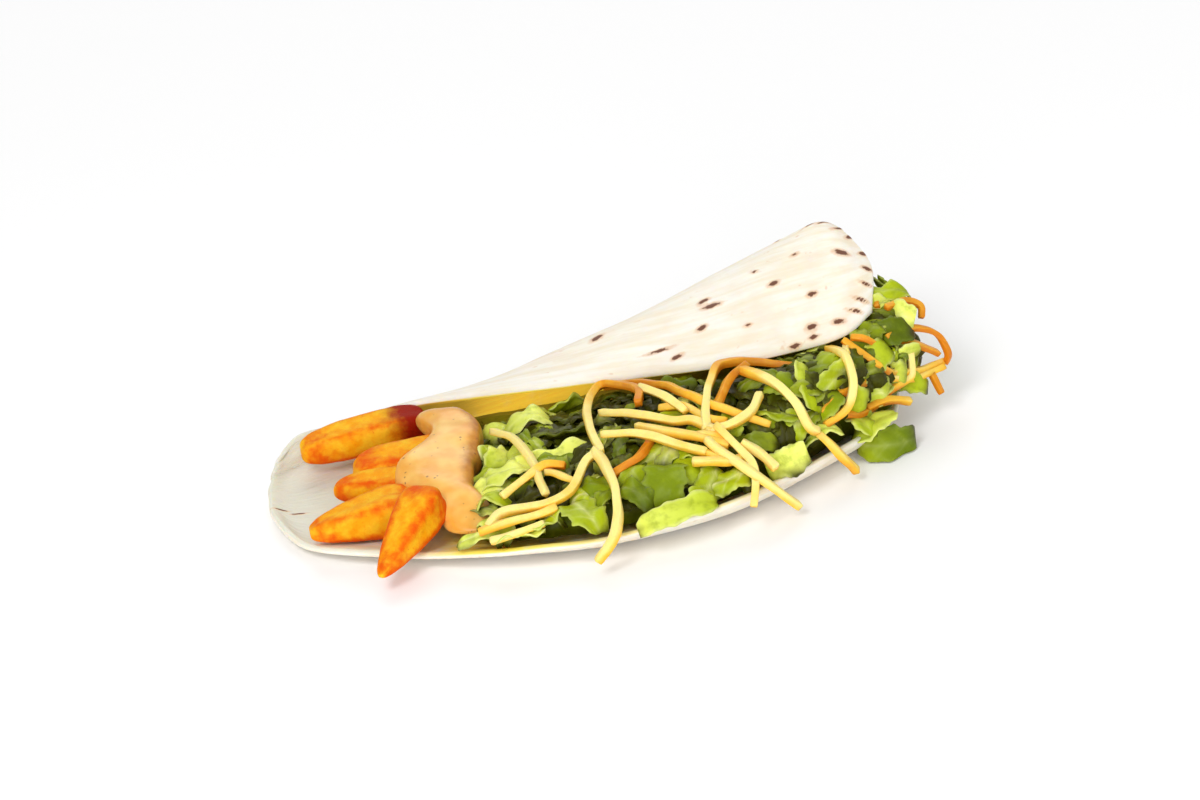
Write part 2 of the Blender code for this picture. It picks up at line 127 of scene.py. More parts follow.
@dataclass(frozen=True)
class Strand:
    """A shred of cheese through points given as x and height on the heap.

    Its tones run along it from 0 for pale to 1 for deep orange, the deeper orange being painted shade,
    its lifts are how far it stands off the heap in mm, and its girth is a share of the usual one.
    """

    points: tuple[tuple[float, float], ...]
    tones: tuple[float, ...]
    lifts: tuple[float, ...]
    girth: float = 1.0


@dataclass(frozen=True)
class Leaf:
    """A piece of lettuce: x, height on the heap, width, length and angle on its face in degrees.

    Its tone runs from 0 for dark green to 1 for pale, and shade is how much painted shade it gets for lying
    deep in the heap.
    """

    x: float
    height: float
    width: float
    length: float
    angle: float
    tone: float
    shade: float = 0.0


class Side(Enum):
    """The two sides of the tortilla, as the sign of the way out of the sheet."""

    INNER = 1
    OUTER = -1


SECTIONS = (
    Section(-79.6, (-31, 3.6), (1, 4.7), (4.5, 5.4), (7.2, 6), 4.0, 0, -3.3, -1.2, -0.6),
    Section(-73.8, (-42, 3.2), (9, 4.2), (12.5, 6), (15.5, 8), 1.4, 0, -3.1, -1.2, -0.6),
    Section(-62, (-51.5, 4.2), (17, 4.6), (17.8, 6.6), (16.5, 8.7), FLOOR, 0.3, -0.9),
    Section(-45, (-60.5, 4.4), (17.6, 6.2), (17, 9.6), (12, 12.2), FLOOR, 0.5),
    Section(-26, (-69.5, 6.2), (18.8, 7.5), (16, 12.3), (2.5, 15.8)),
    Section(-5, (-75, 7), (19.5, 10), (12.5, 19.2), (-9, 19.8)),
    Section(15, (-74, 7.8), (20.5, 12.5), (12, 24.8), (-15, 21.6), FLOOR, 2),
    Section(34, (-69.5, 8.8), (21.5, 15.5), (12, 31), (-23, 24), FLOOR, 3.2),
    Section(54, (-56.5, 8.6), (22, 18.5), (13, 37.6), (-25.5, 25.8), FLOOR, 5),
    Section(68.8, (-43, 7.2), (21.5, 22), (11.5, 42.8), (-27, 28.6), 1.4, 4, 2.8, -2.2, 1.1),
    Section(76.8, (-33, 5.8), (20.5, 22), (9.5, 41.8), (-20, 30.2), 3.6, 1.5, 4, -4.2, 2.1),
)

OUTER_TOASTS = tuple(Toast(*row) for row in (
    (0.560, 0.888, 1.8, 1.5), (0.640, 0.958, 4.2, 0.7, 8), (0.663, 0.973, 1.7, 1.0),
    (0.700, 0.935, 1.5, 1.2), (0.710, 0.873, 1.6, 1.1), (0.717, 0.892, 3.0, 1.2, 12),
    (0.800, 0.892, 1.5, 1.1), (0.850, 0.931, 1.4, 1.0), (0.920, 0.858, 2.0, 1.2, 40),
    (0.985, 0.815, 1.3, 1.0), (0.985, 0.865, 1.3, 1.0), (0.978, 0.915, 1.3, 1.0),
    (0.968, 0.946, 1.2, 0.9), (0.952, 0.965, 1.3, 1.0), (0.932, 0.975, 1.4, 0.9),
    (0.890, 0.979, 1.6, 1.1), (0.843, 0.973, 1.6, 1.2), (0.843, 0.992, 1.5, 0.9),
    (0.813, 0.996, 1.6, 0.9), (0.840, 0.838, 1.6, 1.0, 0, 0.72), (0.777, 0.850, 1.9, 0.9, 30, 0.7),
    (0.757, 0.950, 1.5, 0.9, 0, 0.7), (0.897, 0.750, 3.0, 0.9, 0, 0.75),
    (0.937, 0.752, 2.8, 0.9, 0, 0.75), (0.975, 0.785, 2.0, 1.0, 0, 0.8),
    (0.820, 0.765, 1.6, 0.8, 0, 0.6), (0.30, 0.62, 2.2, 1.4), (0.42, 0.56, 3.0, 1.6, 20),
    (0.55, 0.60, 1.8, 1.4), (0.66, 0.52, 2.6, 1.5, -20), (0.74, 0.60, 2.0, 1.2), (0.86, 0.55, 2.4, 1.6),
    (0.93, 0.62, 1.8, 1.2), (0.20, 0.35, 2.6, 1.8), (0.35, 0.22, 3.4, 2.0, 15), (0.48, 0.36, 2.2, 1.6),
    (0.58, 0.18, 3.0, 1.8), (0.70, 0.34, 2.6, 1.8, 40), (0.82, 0.20, 2.2, 1.5), (0.90, 0.38, 3.0, 1.8),
    (0.12, 0.20, 1.8, 1.2), (0.52, 0.04, 1.8, 1.0), (0.76, 0.06, 2.0, 1.1),
))
INNER_TOASTS = tuple(Toast(*row) for row in (
    (0.048, 0.295, 1.7, 0.5, 0, 1.1), (0.108, 0.300, 1.9, 0.5, 0, 1.1), (0.16, 0.26, 1.0, 0.6, 0, 0.5),
))

FACES = (
    Face(-32, (-66, 7), (3, 8.8), 4, 3.4),
    Face(-5, (-73, 8.6), (-6, 12.8), 5, 3.4),
    Face(15, (-72, 9.4), (-12, 18), 6, 5),
    Face(34, (-67.5, 10.4), (-21, 21.5), 6, 11),
    Face(54, (-54.5, 10.2), (-24, 23.3), 7, 20),
    Face(68, (-42, 9), (-25.5, 26), 8, 28),
    Face(80, (-29, 8), (-8, 31.5), 8, 17),
    Face(92, (-17, 7), (-6, 27), 5, 14),
)

SAUCE = (
    (-38.2, 4, 11.4, 6.8, 3.0), (-35.4, -4, 13.6, 6.4, 4.0), (-32.6, -13, 14.2, 6.0, 4.4),
    (-34.2, -21, 14.0, 8.2, 4.4), (-38.4, -29, 13.0, 10.6, 4.4), (-38.6, -36, 12.2, 9.2, 4.2),
    (-35.6, -44, 11.0, 6.2, 3.9), (-32.8, -52, 9.6, 6.8, 3.2), (-29.8, -59.4, 8.0, 9.2, 1.9),
)

STRANDS = tuple(Strand(*row) for row in (
    (((3, -6), (1.5, -1), (1.5, 5), (5, 9), (10, 9), (15, 7), (14.5, 4)),
     (0.1, 0.15, 0.8, 0.95), (3.0,)),
    (((4.5, 4), (14, 1.5), (22, -1.5), (27, -2), (31.6, -4.7)), (0, 0.3), (2.4,)),
    (((4, -2), (13, -3.5), (21, -7), (29, -10)), (0.05, 0.2), (3.0,)),
    (((13, -0.5), (20, -3.5), (28, -6), (34.5, -9)), (0.2, 0.35), (2.2,)),
    (((7, 11), (15, 9.5), (22, 7.5), (28, 4), (35, 0), (46, -5)), (1, 0.9, 0.5, 0.4), (2.0,)),
    (((15.5, 7.5), (21, 4), (25.5, 0)), (0, 0.1), (3.4,)),
    (((58, 11.6), (54, 10.5), (46, 10.5), (39, 10), (35, 8.5), (31, 1.5), (30, -4.5)),
     (0.95, 0.9, 0.8, 0, 0), (-3, -1, 1.5, 3, 3, 3)),
    (((43, 9.5), (38.5, 7), (35.5, 3.5), (33.5, 1)), (0.9, 0.85), (2.0,)),
    (((41.5, 7.5), (48.5, 3.5), (53, -1), (55.5, -7), (57.5, -10)), (0.8, 0.05, 0, 0.1), (3.4,), 1.08),
    (((64, 12), (67.5, 8), (68.5, 3.5), (66, -2), (59.5, -8)), (0.6, 0.05, 0.05, 0.7), (0, 3, 3, 2.6)),
    (((45, 2), (41.5, -2), (36, -4.5), (30, -4.5)), (0, 0.15), (2.6,)),
    (((38, -8.5), (41.5, -12), (45.5, -16.5)), (0, 0), (2.8,)),
    (((25, -11.5), (33.5, -13), (38, -12.5)), (0.15, 0.35), (2.6,)),
    (((-23.5, 3.5), (-18, 0), (-14.5, -6), (-12.5, -14)), (0, 0.05), (3.0,), 0.9),
    (((-23.5, -13), (-17, -10), (-11.5, -7.5), (-6.5, -8)), (0.1, 0.25, 0.8), (3.2,)),
    (((-28, -19), (-23.5, -16.5), (-12.5, -16.5), (-6, -14), (-1.5, -8), (1.5, -6)),
     (0, 0.15, 0.3, 0), (2.6,)),
    (((-11.5, -8), (-9, -9.5), (-4, -12)), (0.1, 0.3), (2.4,), 0.85),
    (((69, 15.5), (68, 8.5)), (0, 0.1), (-1, 2.4), 0.85),
    (((68, 11.5), (75.5, 6.5), (80, 3)), (0.75, 0.6), (2.2,), 0.85),
    (((71, -5.5), (77, -5), (82.5, -5.5)), (0.85, 0.25), (1.8,), 0.9),
    (((16, -3.5), (12.3, -7.3), (8.5, -9), (4.8, -10.4)), (1, 0.9), (0.8,)),
    (((72, 2), (64, 0), (59, -3.5)), (0.8, 0.8), (0.0,)),
    (((-30.5, -19.6), (-24, -19), (-15.3, -18.4), (-10, -17)), (0.45, 0.15, 0.3), (2.2,)),
    (((70, 12), (74, 11.5), (78.5, 9)), (0.8, 0.85), (2.0,), 0.8),
    (((24, -7.5), (29, -10), (33, -12.5)), (0.4, 0.4), (2.0,), 0.9),
    (((19.5, 3.2), (25.5, 2.4), (31, -1.5), (35.5, -2.5)), (0.4, 0.2, 0.5), (1.6,), 0.95),
    (((23, -4.5), (30.5, -5.6), (36, -8.2)), (0.1, 0.5), (1.8,), 0.9),
    (((-28, -21.5), (-22, -21.3), (-14, -19.8)), (0, 0.1), (1.6,), 0.85),
    (((63, -4.5), (69, -6.2), (74, -4.2)), (0.9, 0.8), (0.6,), 0.9),
    (((78.4, 20), (78.8, 22), (80, 24)), (0.9, 0.9), (0.4,), 0.8),
    (((32.5, -4), (35.5, -8), (38, -12), (40, -16.5), (38, -23)), (0.3, 0.05, 0.25), (3.0,)),
    (((29.5, -7), (34, -12), (39.5, -17.5), (46, -21.5), (49.5, -25.5)), (0.05, 0, 0.05), (3.2,)),
    (((1.5, -5.5), (4, -11.5), (5, -18), (3.5, -24), (0.5, -27), (-2.5, -29.5)),
     (0.1, 0, 0.15), (3.2,), 1.08),
    (((57.5, -10), (59.5, -12.5), (62.5, -15.5), (65.5, -19)), (0.35, 0.3), (2.6,)),
    (((75.5, -3.5), (81.5, 0.5), (84, 4), (84.5, 9)), (0.8, 0.5, 0, 0), (3.2,), 0.9),
    (((78.5, 4.5), (85.5, 4), (93, 3.5)), (0.3, 0.4), (2.4,), 0.85),
    (((78, 3), (84.5, 2.5), (93, 1)), (0.1, 0.45), (2.6,), 0.85),
    (((79, 12), (84.5, 12.8), (88.5, 12.6), (92.6, 11), (94.4, 7.2), (93.8, 2)),
     (0.8, 0.9, 1), (2.4,), 0.75),
    (((79, 12), (86, 10), (92, 7)), (0.7, 0.7), (2.2,), 0.8),
    (((80, 4), (87, 2.5), (89, 0), (91, -4.5)), (0.5, 1), (2.2,), 0.75),
    (((80.5, 18.5), (86, 18.8), (89.5, 17.4), (89.2, 15)), (0.7, 0.9), (2.2,), 0.8),
))

LEAVES = tuple(Leaf(*row) for row in (
    (-14, 6, 8.5, 14, 10, 0.85), (-4, 9.5, 4, 11, 30, 0.5, 0.1), (-9, -3, 5, 19, 5, 1.0),
    (-21.5, -6, 8.5, 15, 15, 0.85), (-25.5, -12, 6, 10, -20, 0.6), (-22.5, -1, 6, 10, 60, 0.8),
    (-4, -18.5, 9.5, 13, -60, 0.35), (19, -22, 6, 21, 12, 0.7), (17.5, -14, 11, 13, 80, 0.15),
    (-20.5, -20.5, 4.5, 13, 5, 0.7), (9.5, -16, 6, 11, -40, 0.1, 0.3), (57, 3.5, 4.5, 14.5, -85, 0.6),
    (64, 4, 6, 11, 40, 0.5, 0.2), (73, 1.5, 7.5, 11.5, -50, 0.6), (80.5, 7, 5.5, 14, 10, 0.9),
    (81, 18, 7.5, 14, -30, 0.8), (68.5, -7, 6, 11.5, -60, 0.7), (74.5, -14, 9, 15, -5, 0.15),
    (48.5, -14, 6.5, 11.5, 20, 0.9), (58, -9.5, 4, 12, 15, 0.7), (24, 8.5, 5, 12.5, 10, 0.1, 0.5),
    (45.5, 6, 4.5, 12.5, 0, 0.2, 0.45), (48.5, -2, 5, 11.5, -20, 0.3, 0.2),
    (60, -2.5, 5.5, 11.5, 30, 0.3, 0.15), (-3.5, 2, 5, 12.5, -10, 0.1, 0.7),
    (82, 0, 5.5, 12, -15, 0.35), (41.5, -9, 5, 11.5, 0, 0.2, 0.5), (-13.5, -18, 6.5, 12, 35, 0.5),
    (28, -16.5, 6.5, 13, 60, 0.4), (28, 0.5, 6, 12, 70, 0.3, 0.5), (81, 22, 6, 13, 15, 0.5),
    (72, -9, 6.5, 13, 30, 0.7), (80, 13, 7.5, 13, 5, 0.05, 0.45),
))
# Further leaves of the photograph, which lie lower in the heap.
LOW_LEAVES = tuple(Leaf(*row) for row in (
    (-24, -7, 9, 13, 20, 0.9), (-16, -3, 7, 12, -30, 0.6), (-23, -16, 8, 12, 60, 0.7),
    (-17, 0, 8, 10, 10, 0.7), (1, -12, 8, 12, 20, 0.2, 0.1), (10, -11, 7, 13, 70, 0.3, 0.1),
    (16, -7, 8, 12, 30, 0.35, 0.1), (24, -12, 8, 12, -20, 0.4), (33, -16, 7, 11, 10, 0.5),
    (24, 2, 7, 12, 20, 0.4, 0.1), (37, -2, 7, 12, 60, 0.3, 0.1), (51, 5, 8, 12, -30, 0.2, 0.1),
    (53, -5, 8, 12, 40, 0.4), (62, 9, 7, 11, 20, 0.25, 0.1), (66, -1, 8, 12, -20, 0.5),
    (74, 7, 8, 12, 30, 0.6), (77, 3, 8, 12, -10, 0.8), (74, 13, 8, 12, 60, 0.15, 0.2),
    (-2, -14, 7, 10, 10, 0.5), (-22.4, 6.5, 7, 9, 60, 0.75), (-27, 2, 6, 9, 80, 0.6),
    (-27, -17, 6, 10, -60, 0.8), (-30, -18.6, 4, 13, 8, 0.7),
))
# Dark gaps of the photograph, kept free of small shreds: x, height, half width and half height.
GAPS = (
    (-3.5, 4, 5, 7), (-12.9, -11.9, 6, 4), (-25, 5.7, 2.5, 3), (37.3, 10.2, 8, 3), (37.3, 1.6, 4, 5),
    (60.9, 2.9, 3, 4), (44.6, -8.1, 7, 4),
)


# Curves, noise and meshes


def catmull_rom(a: Array, b: Array, c: Array, d: Array, t: Array) -> Array:
    """The point at t from 0 to 1 between b and c, on a smooth cubic through a, b, c and d."""
    square, cube = 2 * a - 5 * b + 4 * c - d, 3 * b - a - 3 * c + d
    return 0.5 * (2 * b + (c - a) * t + square * t**2 + cube * t**3)


def curve_through(points: Array, count: int, bend: float = 0.0) -> Array:
    """Lay count + 1 points along a smooth curve through the given ones.

    They are evenly spaced, but for bend mm more of curve for each radian that it turns.

    Args:
        points: the points to pass through, one row each.
        count: number of steps along the curve.
        bend: extra share of points where the curve turns, in mm a radian.

    Returns:
        The points, one row each.
    """
    pts = np.asarray(points, float)
    ext = np.vstack([2 * pts[0] - pts[1], pts, 2 * pts[-1] - pts[-2]])
    t = np.linspace(0, 1, 9)[:-1][:, None]
    spans = [catmull_rom(*four, t) for four in zip(ext[:-3], ext[1:-2], ext[2:-1], ext[3:])]
    fine = np.vstack(spans + [pts[-1:]])
    step = np.diff(fine, axis=0)
    size = np.linalg.norm(step, axis=1)
    heading = step / np.maximum(size, 1e-9)[:, None]
    turn = np.arccos(np.clip((heading[1:] * heading[:-1]).sum(1), -1, 1))
    length = np.r_[0, np.cumsum(size + bend * np.r_[turn, 0])]
    want = np.linspace(0, length[-1], count + 1)
    return np.stack([np.interp(want, length, column) for column in fine.T], -1)


def lattice_noise(points: Array, size: float, seed: int) -> Array:
    """Smooth noise from -1 to 1: hashed values at the corners of cubes of that size, eased between.

    Args:
        points: where it is wanted, with x, y, z last, in mm.
        size: width of a lump in mm.
        seed: picks another pattern.

    Returns:
        One value for each point.
    """
    place = points / size
    cell = np.floor(place).astype(np.int64)
    ease = place - cell
    ease = ease * ease * (3 - 2 * ease)
    total = np.zeros(points.shape[:-1])
    for corner in np.ndindex(2, 2, 2):
        mixed = ((cell + corner) @ HASH + seed * 97463) & WORD
        mixed = ((mixed ^ (mixed >> 13)) * 1274126177) & WORD
        mixed ^= mixed >> 16
        share = np.where(np.array(corner) == 1, ease, 1 - ease).prod(-1)
        total += share * (mixed / HALF_WORD - 1)
    return total


def unit(vectors: Array) -> Array:
    """The same vectors with length 1."""
    return vectors / np.maximum(np.linalg.norm(vectors, axis=-1, keepdims=True), 1e-9)


def clamp(value: Array) -> Array:
    """The value, but no less than 0 and no more than 1."""
    return np.clip(value, 0, 1)


def turned(a: Array, b: Array, angle: float | Array) -> tuple[Array, Array]:
    """Two parts of a place, or two ways square to each other, turned by an angle in radians."""
    return a * np.cos(angle) - b * np.sin(angle), a * np.sin(angle) + b * np.cos(angle)


def spread(values: tuple[float, ...], count: int) -> Array:
    """As many values as wanted, in even steps along the given ones."""
    return np.interp(np.linspace(0, 1, count), np.linspace(0, 1, len(values)), values)


def square_grid(rows: int, columns: int) -> list[Array]:
    """Two grids of values from -1 to 1, one that grows row by row and one column by column."""
    return np.meshgrid(np.linspace(-1, 1, rows), np.linspace(-1, 1, columns), indexing="ij")


def height_on_heap(line: Array) -> Array:
    """Heights of points square to the slope from which the heap is measured."""
    return line[:, 1] * math.sin(SLOPE) + line[:, 2] * math.cos(SLOPE)


@dataclass
class Surface:
    """Points in mm in the working frame, the faces between them, and values painted on the points."""

    points: Array
    faces: list[Array]
    paint: dict[str, Array]

    @staticmethod
    def quads(rows: int, columns: int, wrap: bool = False) -> Array:
        """Faces of a grid of points, row by row, closed across its columns if wrap is set."""
        number = np.arange(rows * columns).reshape(rows, columns)
        right = np.roll(number, -1, axis=1)
        if not wrap:
            number, right = number[:, :-1], right[:, :-1]
        return np.stack([number[:-1], right[:-1], right[1:], number[1:]], -1).reshape(-1, 4)

    @classmethod
    def tube(cls, rings: Array, paint: dict[str, Array], reverse: bool = False) -> "Surface":
        """A closed surface through matching rings of points, with a fan of triangles at each end.

        Args:
            rings: points as (ring, place in the ring, xyz).
            paint: values for each point of the rings, as (ring, place).
            reverse: set if the rings run the way that would turn the faces inwards.

        Returns:
            The surface, whose last two points are the middles of the first and last ring.
        """
        if reverse:
            rings = rings[:, ::-1]
            paint = {name: value[:, ::-1] for name, value in paint.items()}
        rows, columns = rings.shape[:2]
        middles = rings[[0, -1]].mean(1)
        points = np.vstack([rings.reshape(-1, 3), middles])
        first = np.arange(columns)
        last = first + (rows - 1) * columns
        ends = [np.stack([np.roll(first, -1), first, np.full(columns, rows * columns)], -1),
                np.stack([last, np.roll(last, -1), np.full(columns, rows * columns + 1)], -1)]
        painted = {name: np.r_[value.ravel(), value[[0, -1]].mean(1)] for name, value in paint.items()}
        return cls(points, [cls.quads(rows, columns, wrap=True), np.vstack(ends)], painted)

    @classmethod
    def sheet(cls, upper: Array, lower: Array, paint: dict[str, Array]) -> "Surface":
        """A closed sheet: two matching grids of points and the strip between their rims.

        Args:
            upper: points of the side that faces the way out, as (row, column, xyz).
            lower: the points under them.
            paint: values for both sides, as (side, row, column) or (side, row, column, 3).

        Returns:
            The surface.
        """
        rows, columns = upper.shape[:2]
        count = rows * columns
        number = np.arange(count).reshape(rows, columns)
        top = cls.quads(rows, columns)
        rim = np.concatenate([number[0, :-1], number[:-1, -1], number[-1, :0:-1], number[:0:-1, 0]])
        after = np.roll(rim, -1)
        strip = np.stack([after, rim, rim + count, after + count], -1)
        points = np.stack([upper, lower]).reshape(-1, 3)
        painted = {name: value.reshape(2 * count, *value.shape[3:]) for name, value in paint.items()}
        return cls(points, [top, top[:, ::-1] + count, strip], painted)

    @classmethod
    def joined(cls, surfaces: list["Surface"]) -> "Surface":
        """Several surfaces with the same painted values as one."""
        starts = np.cumsum([0] + [len(s.points) for s in surfaces[:-1]])
        faces = [face + start for s, start in zip(surfaces, starts) for face in s.faces]
        paint = {name: np.concatenate([s.paint[name] for s in surfaces]) for name in surfaces[0].paint}
        return cls(np.vstack([s.points for s in surfaces]), faces, paint)

    def piece(self, name: str, material: Material, slot: str, nodes: list[str]) -> None:
        """Turn the surface into a piece that rides on the root and replaces CAD nodes.

        Args:
            name: name of the object.
            material: its finish.
            slot: slot of the record that the finish belongs to; not used.
            nodes: names of the CAD nodes that it stands for.
        """
        mesh = bpy.data.meshes.new(name)
        low, high = (np.array(corner) for corner in CAD_BOX)
        placed = np.clip((self.points - WORK_ORIGIN) * MM, low, high)
        mesh.vertices.add(len(placed))
        mesh.vertices.foreach_set("co", placed.ravel())
        corners = np.concatenate([face.ravel() for face in self.faces])
        sizes = np.concatenate([np.full(len(face), face.shape[1]) for face in self.faces])
        mesh.loops.add(len(corners))
        mesh.loops.foreach_set("vertex_index", corners)
        mesh.polygons.add(len(sizes))
        mesh.polygons.foreach_set("loop_start", np.r_[0, np.cumsum(sizes)[:-1]])
        mesh.polygons.foreach_set("use_smooth", np.ones(len(sizes), bool))
        mesh.update(calc_edges=True)
        for label, value in self.paint.items():
            kind, target = ("FLOAT", "value") if value.ndim == 1 else ("FLOAT_VECTOR", "vector")
            layer = mesh.attributes.new(label, kind, "POINT")
            layer.data.foreach_set(target, value.astype(np.float32).ravel())
        mesh.materials.append(material)
        obj = bpy.data.objects.new(name, mesh)
        bpy.context.scene.collection.objects.link(obj)
        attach(obj, "root")
        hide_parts(*nodes)
        log.info("%s: %d points, %d faces", name, len(placed), len(sizes))


# Finishes


class Nodes:
    """Nodes of one material, joined as they are made."""

    def __init__(self, name: str) -> None:
        """Start a material that holds one Principled shader."""
        self.material = bpy.data.materials.new(name)
        self.material.use_nodes = True
        self.tree = self.material.node_tree
        self.shader = self.tree.nodes["Principled BSDF"]
        self.place = self.add("ShaderNodeTexCoord").outputs["Object"]

    def add(self, kind: str, options: dict | None = None, **inputs: object) -> bpy.types.Node:
        """Add a node; options are its settings, and inputs are sockets or values by name."""
        node = self.tree.nodes.new(kind)
        for key, value in (options or {}).items():
            setattr(node, key, value)
        for key, value in inputs.items():
            self.set(node.inputs[key.replace("_", " ")], value)
        return node

    def set(self, socket: Socket, value: object) -> None:
        """Join a socket to an input, or set the input to a value."""
        if isinstance(value, bpy.types.NodeSocket):
            self.tree.links.new(value, socket)
        elif isinstance(value, tuple) and len(value) == 3 and socket.type == "RGBA":
            socket.default_value = (*value, 1)
        else:
            socket.default_value = value

    def painted(self, name: str) -> Socket:
        """The painted value of that name, as a number."""
        return self.add("ShaderNodeAttribute", {"attribute_name": name}).outputs["Fac"]

    def painted_place(self, name: str) -> Socket:
        """The painted vector of that name."""
        return self.add("ShaderNodeAttribute", {"attribute_name": name}).outputs["Vector"]

    def noise(self, size: float, detail: float, place: Socket | None = None) -> Socket:
        """Noise from 0 to 1 with lumps of that size in mm."""
        node = self.add("ShaderNodeTexNoise", Vector=place or self.place, Scale=1 / (size * MM),
                        Detail=detail, Roughness=0.55)
        return node.outputs["Fac"]

    def stretched(self, place: Socket, scale: tuple[float, float, float]) -> Socket:
        """A place scaled along its three axes."""
        return self.add("ShaderNodeMapping", Vector=place, Scale=scale).outputs["Vector"]

    def ramp(self, value: Socket, low: float, high: float) -> Socket:
        """The value eased from 0 at low to 1 at high."""
        node = self.add("ShaderNodeMapRange", {"interpolation_type": "SMOOTHSTEP"}, Value=value,
                        From_Min=low, From_Max=high)
        return node.outputs["Result"]

    def maths(self, operation: str, first: object, second: object) -> Socket:
        """The result of one operation on two sockets or numbers."""
        node = self.add("ShaderNodeMath", {"operation": operation})
        self.set(node.inputs[0], first)
        self.set(node.inputs[1], second)
        return node.outputs["Value"]

    def times(self, first: object, second: object) -> Socket:
        """The product of two sockets or numbers."""
        return self.maths("MULTIPLY", first, second)

    def uneven(self, value: Socket, noise: Socket, range_of_noise: float) -> Socket:
        """The value with noise from 0 to 1 laid over it, half of it up and half of it down."""
        return self.maths("ADD", value, self.times(self.maths("SUBTRACT", noise, 0.5), range_of_noise))

    def mix(self, share: object, first: object, second: object) -> Socket:
        """The first colour where share is 0, the second where it is 1."""
        node = self.add("ShaderNodeMix", {"data_type": "RGBA"})
        self.set(node.inputs[0], share)
        self.set(node.inputs[6], first)
        self.set(node.inputs[7], second)
        return node.outputs[2]

    def bump(self, height: Socket, depth: float, strength: float, under: Socket | None = None) -> Socket:
        """A normal from a height of 0 to 1 that stands for depth mm."""
        node = self.add("ShaderNodeBump", Height=height, Distance=depth * MM, Strength=strength)
        if under is not None:
            self.set(node.inputs["Normal"], under)
        return node.outputs["Normal"]

    def finish(self, **inputs: object) -> Material:
        """Set inputs of the shader and give the material."""
        for key, value in inputs.items():
            self.set(self.shader.inputs[key.replace("_", " ")], value)
        return self.material

    def food(self, colour: Socket, normal: Socket, rough: float, shine: float,
             below: tuple[float, Colour, float], **more: object) -> Material:
        """Give the material of something that light enters a little way.

        Args:
            colour: its colour.
            normal: its normal.
            rough: roughness of the surface.
            shine: strength of its reflections.
            below: share of the light that enters, how far its three colours go, and their scale in m.
            more: further inputs of the shader.

        Returns:
            The material.
        """
        share, reach, scale = below
        return self.finish(Base_Color=colour, Normal=normal, Roughness=rough, Specular_IOR_Level=shine,
                           Subsurface_Weight=share, Subsurface_Radius=reach, Subsurface_Scale=scale, **more)


@dataclass(frozen=True)
class TortillaFinish:
    """Floury, nearly white dough with tan streaks and toasted brown spots.

    The inner side is painted greyer as shade, and the foot of the wall above the heap darker as shade. A
    painted glow, an emission on the stained wall behind the filling, stands in for the light that comes
    through the thin flap.
    """

    dough: Colour = (0.87, 0.77, 0.60)
    pale: Colour = (0.94, 0.885, 0.79)
    blush: Colour = (0.86, 0.70, 0.56)
    # Painted shade: the greyer colour of the whole inner side.
    shaded: Colour = (0.69, 0.70, 0.59)
    tan: Colour = (0.72, 0.42, 0.22)
    brown: Colour = (0.12, 0.03, 0.012)
    stain: Colour = (0.97, 0.72, 0.07)
    # Dark brown of the wall's left end and of the painted shade at its foot above the heap.
    scorched: Colour = (0.38, 0.15, 0.005)
    # Colour of the painted glow: an emission that stands in for light coming through the flap.
    glow: Colour = (0.90, 0.66, 0.07)

    def material(self) -> Material:
        """Build the material: streaks follow the sheet; spots, stains, painted shade and the painted glow
        follow painted values.
        """
        n = Nodes("tortilla_dough")
        sheet = n.painted_place("sheet")
        streak = n.noise(2.2, 4, n.stretched(sheet, (0.12, 1, 1)))
        cloud = n.noise(11, 3, sheet)
        base = n.mix(n.ramp(streak, 0.3, 0.66), self.dough, self.pale)
        base = n.mix(n.times(n.ramp(cloud, 0.45, 0.75), 0.5), base, self.blush)
        freckle = n.ramp(n.noise(2.0, 2, n.stretched(sheet, (0.6, 1, 1))), 0.66, 0.76)
        base = n.mix(n.times(freckle, 0.45), base, self.tan)
        # Painted shade: the whole inner side is mixed towards a greyer colour.
        base = n.mix(n.times(n.painted("inside"), 0.85), base, self.shaded)
        toast = n.uneven(n.painted("toast"), n.noise(1.3, 3), 0.9)
        base = n.mix(n.times(n.ramp(toast, -0.7, 0.1), 0.6), base, self.tan)
        base = n.mix(n.times(n.ramp(toast, 0.0, 0.35), 0.92), base, self.brown)
        base = n.mix(n.times(n.painted("stain"), n.ramp(n.noise(7, 3), 0.15, 0.5)), base, self.stain)
        # Darker brown on the wall: at its left end, and painted shade towards its foot above the heap.
        scorch = n.ramp(n.uneven(n.painted("scorch"), streak, 1.2), 0.1, 0.9)
        base = n.mix(n.times(scorch, n.painted("scorch")), base, self.scorched)
        grain = n.bump(n.noise(0.8, 4), 0.10, 0.6)
        normal = n.bump(n.noise(5.0, 4, n.stretched(sheet, (0.3, 1, 1))), 0.7, 0.9, grain)
        # Painted glow: the emission on the stained wall stands in for light that comes through the flap.
        return n.food(base, normal, 0.62, 0.2, (0.5, (1.0, 0.75, 0.4), 0.003),
                      Emission_Color=self.glow, Emission_Strength=n.times(n.painted("glow"), 0.5))


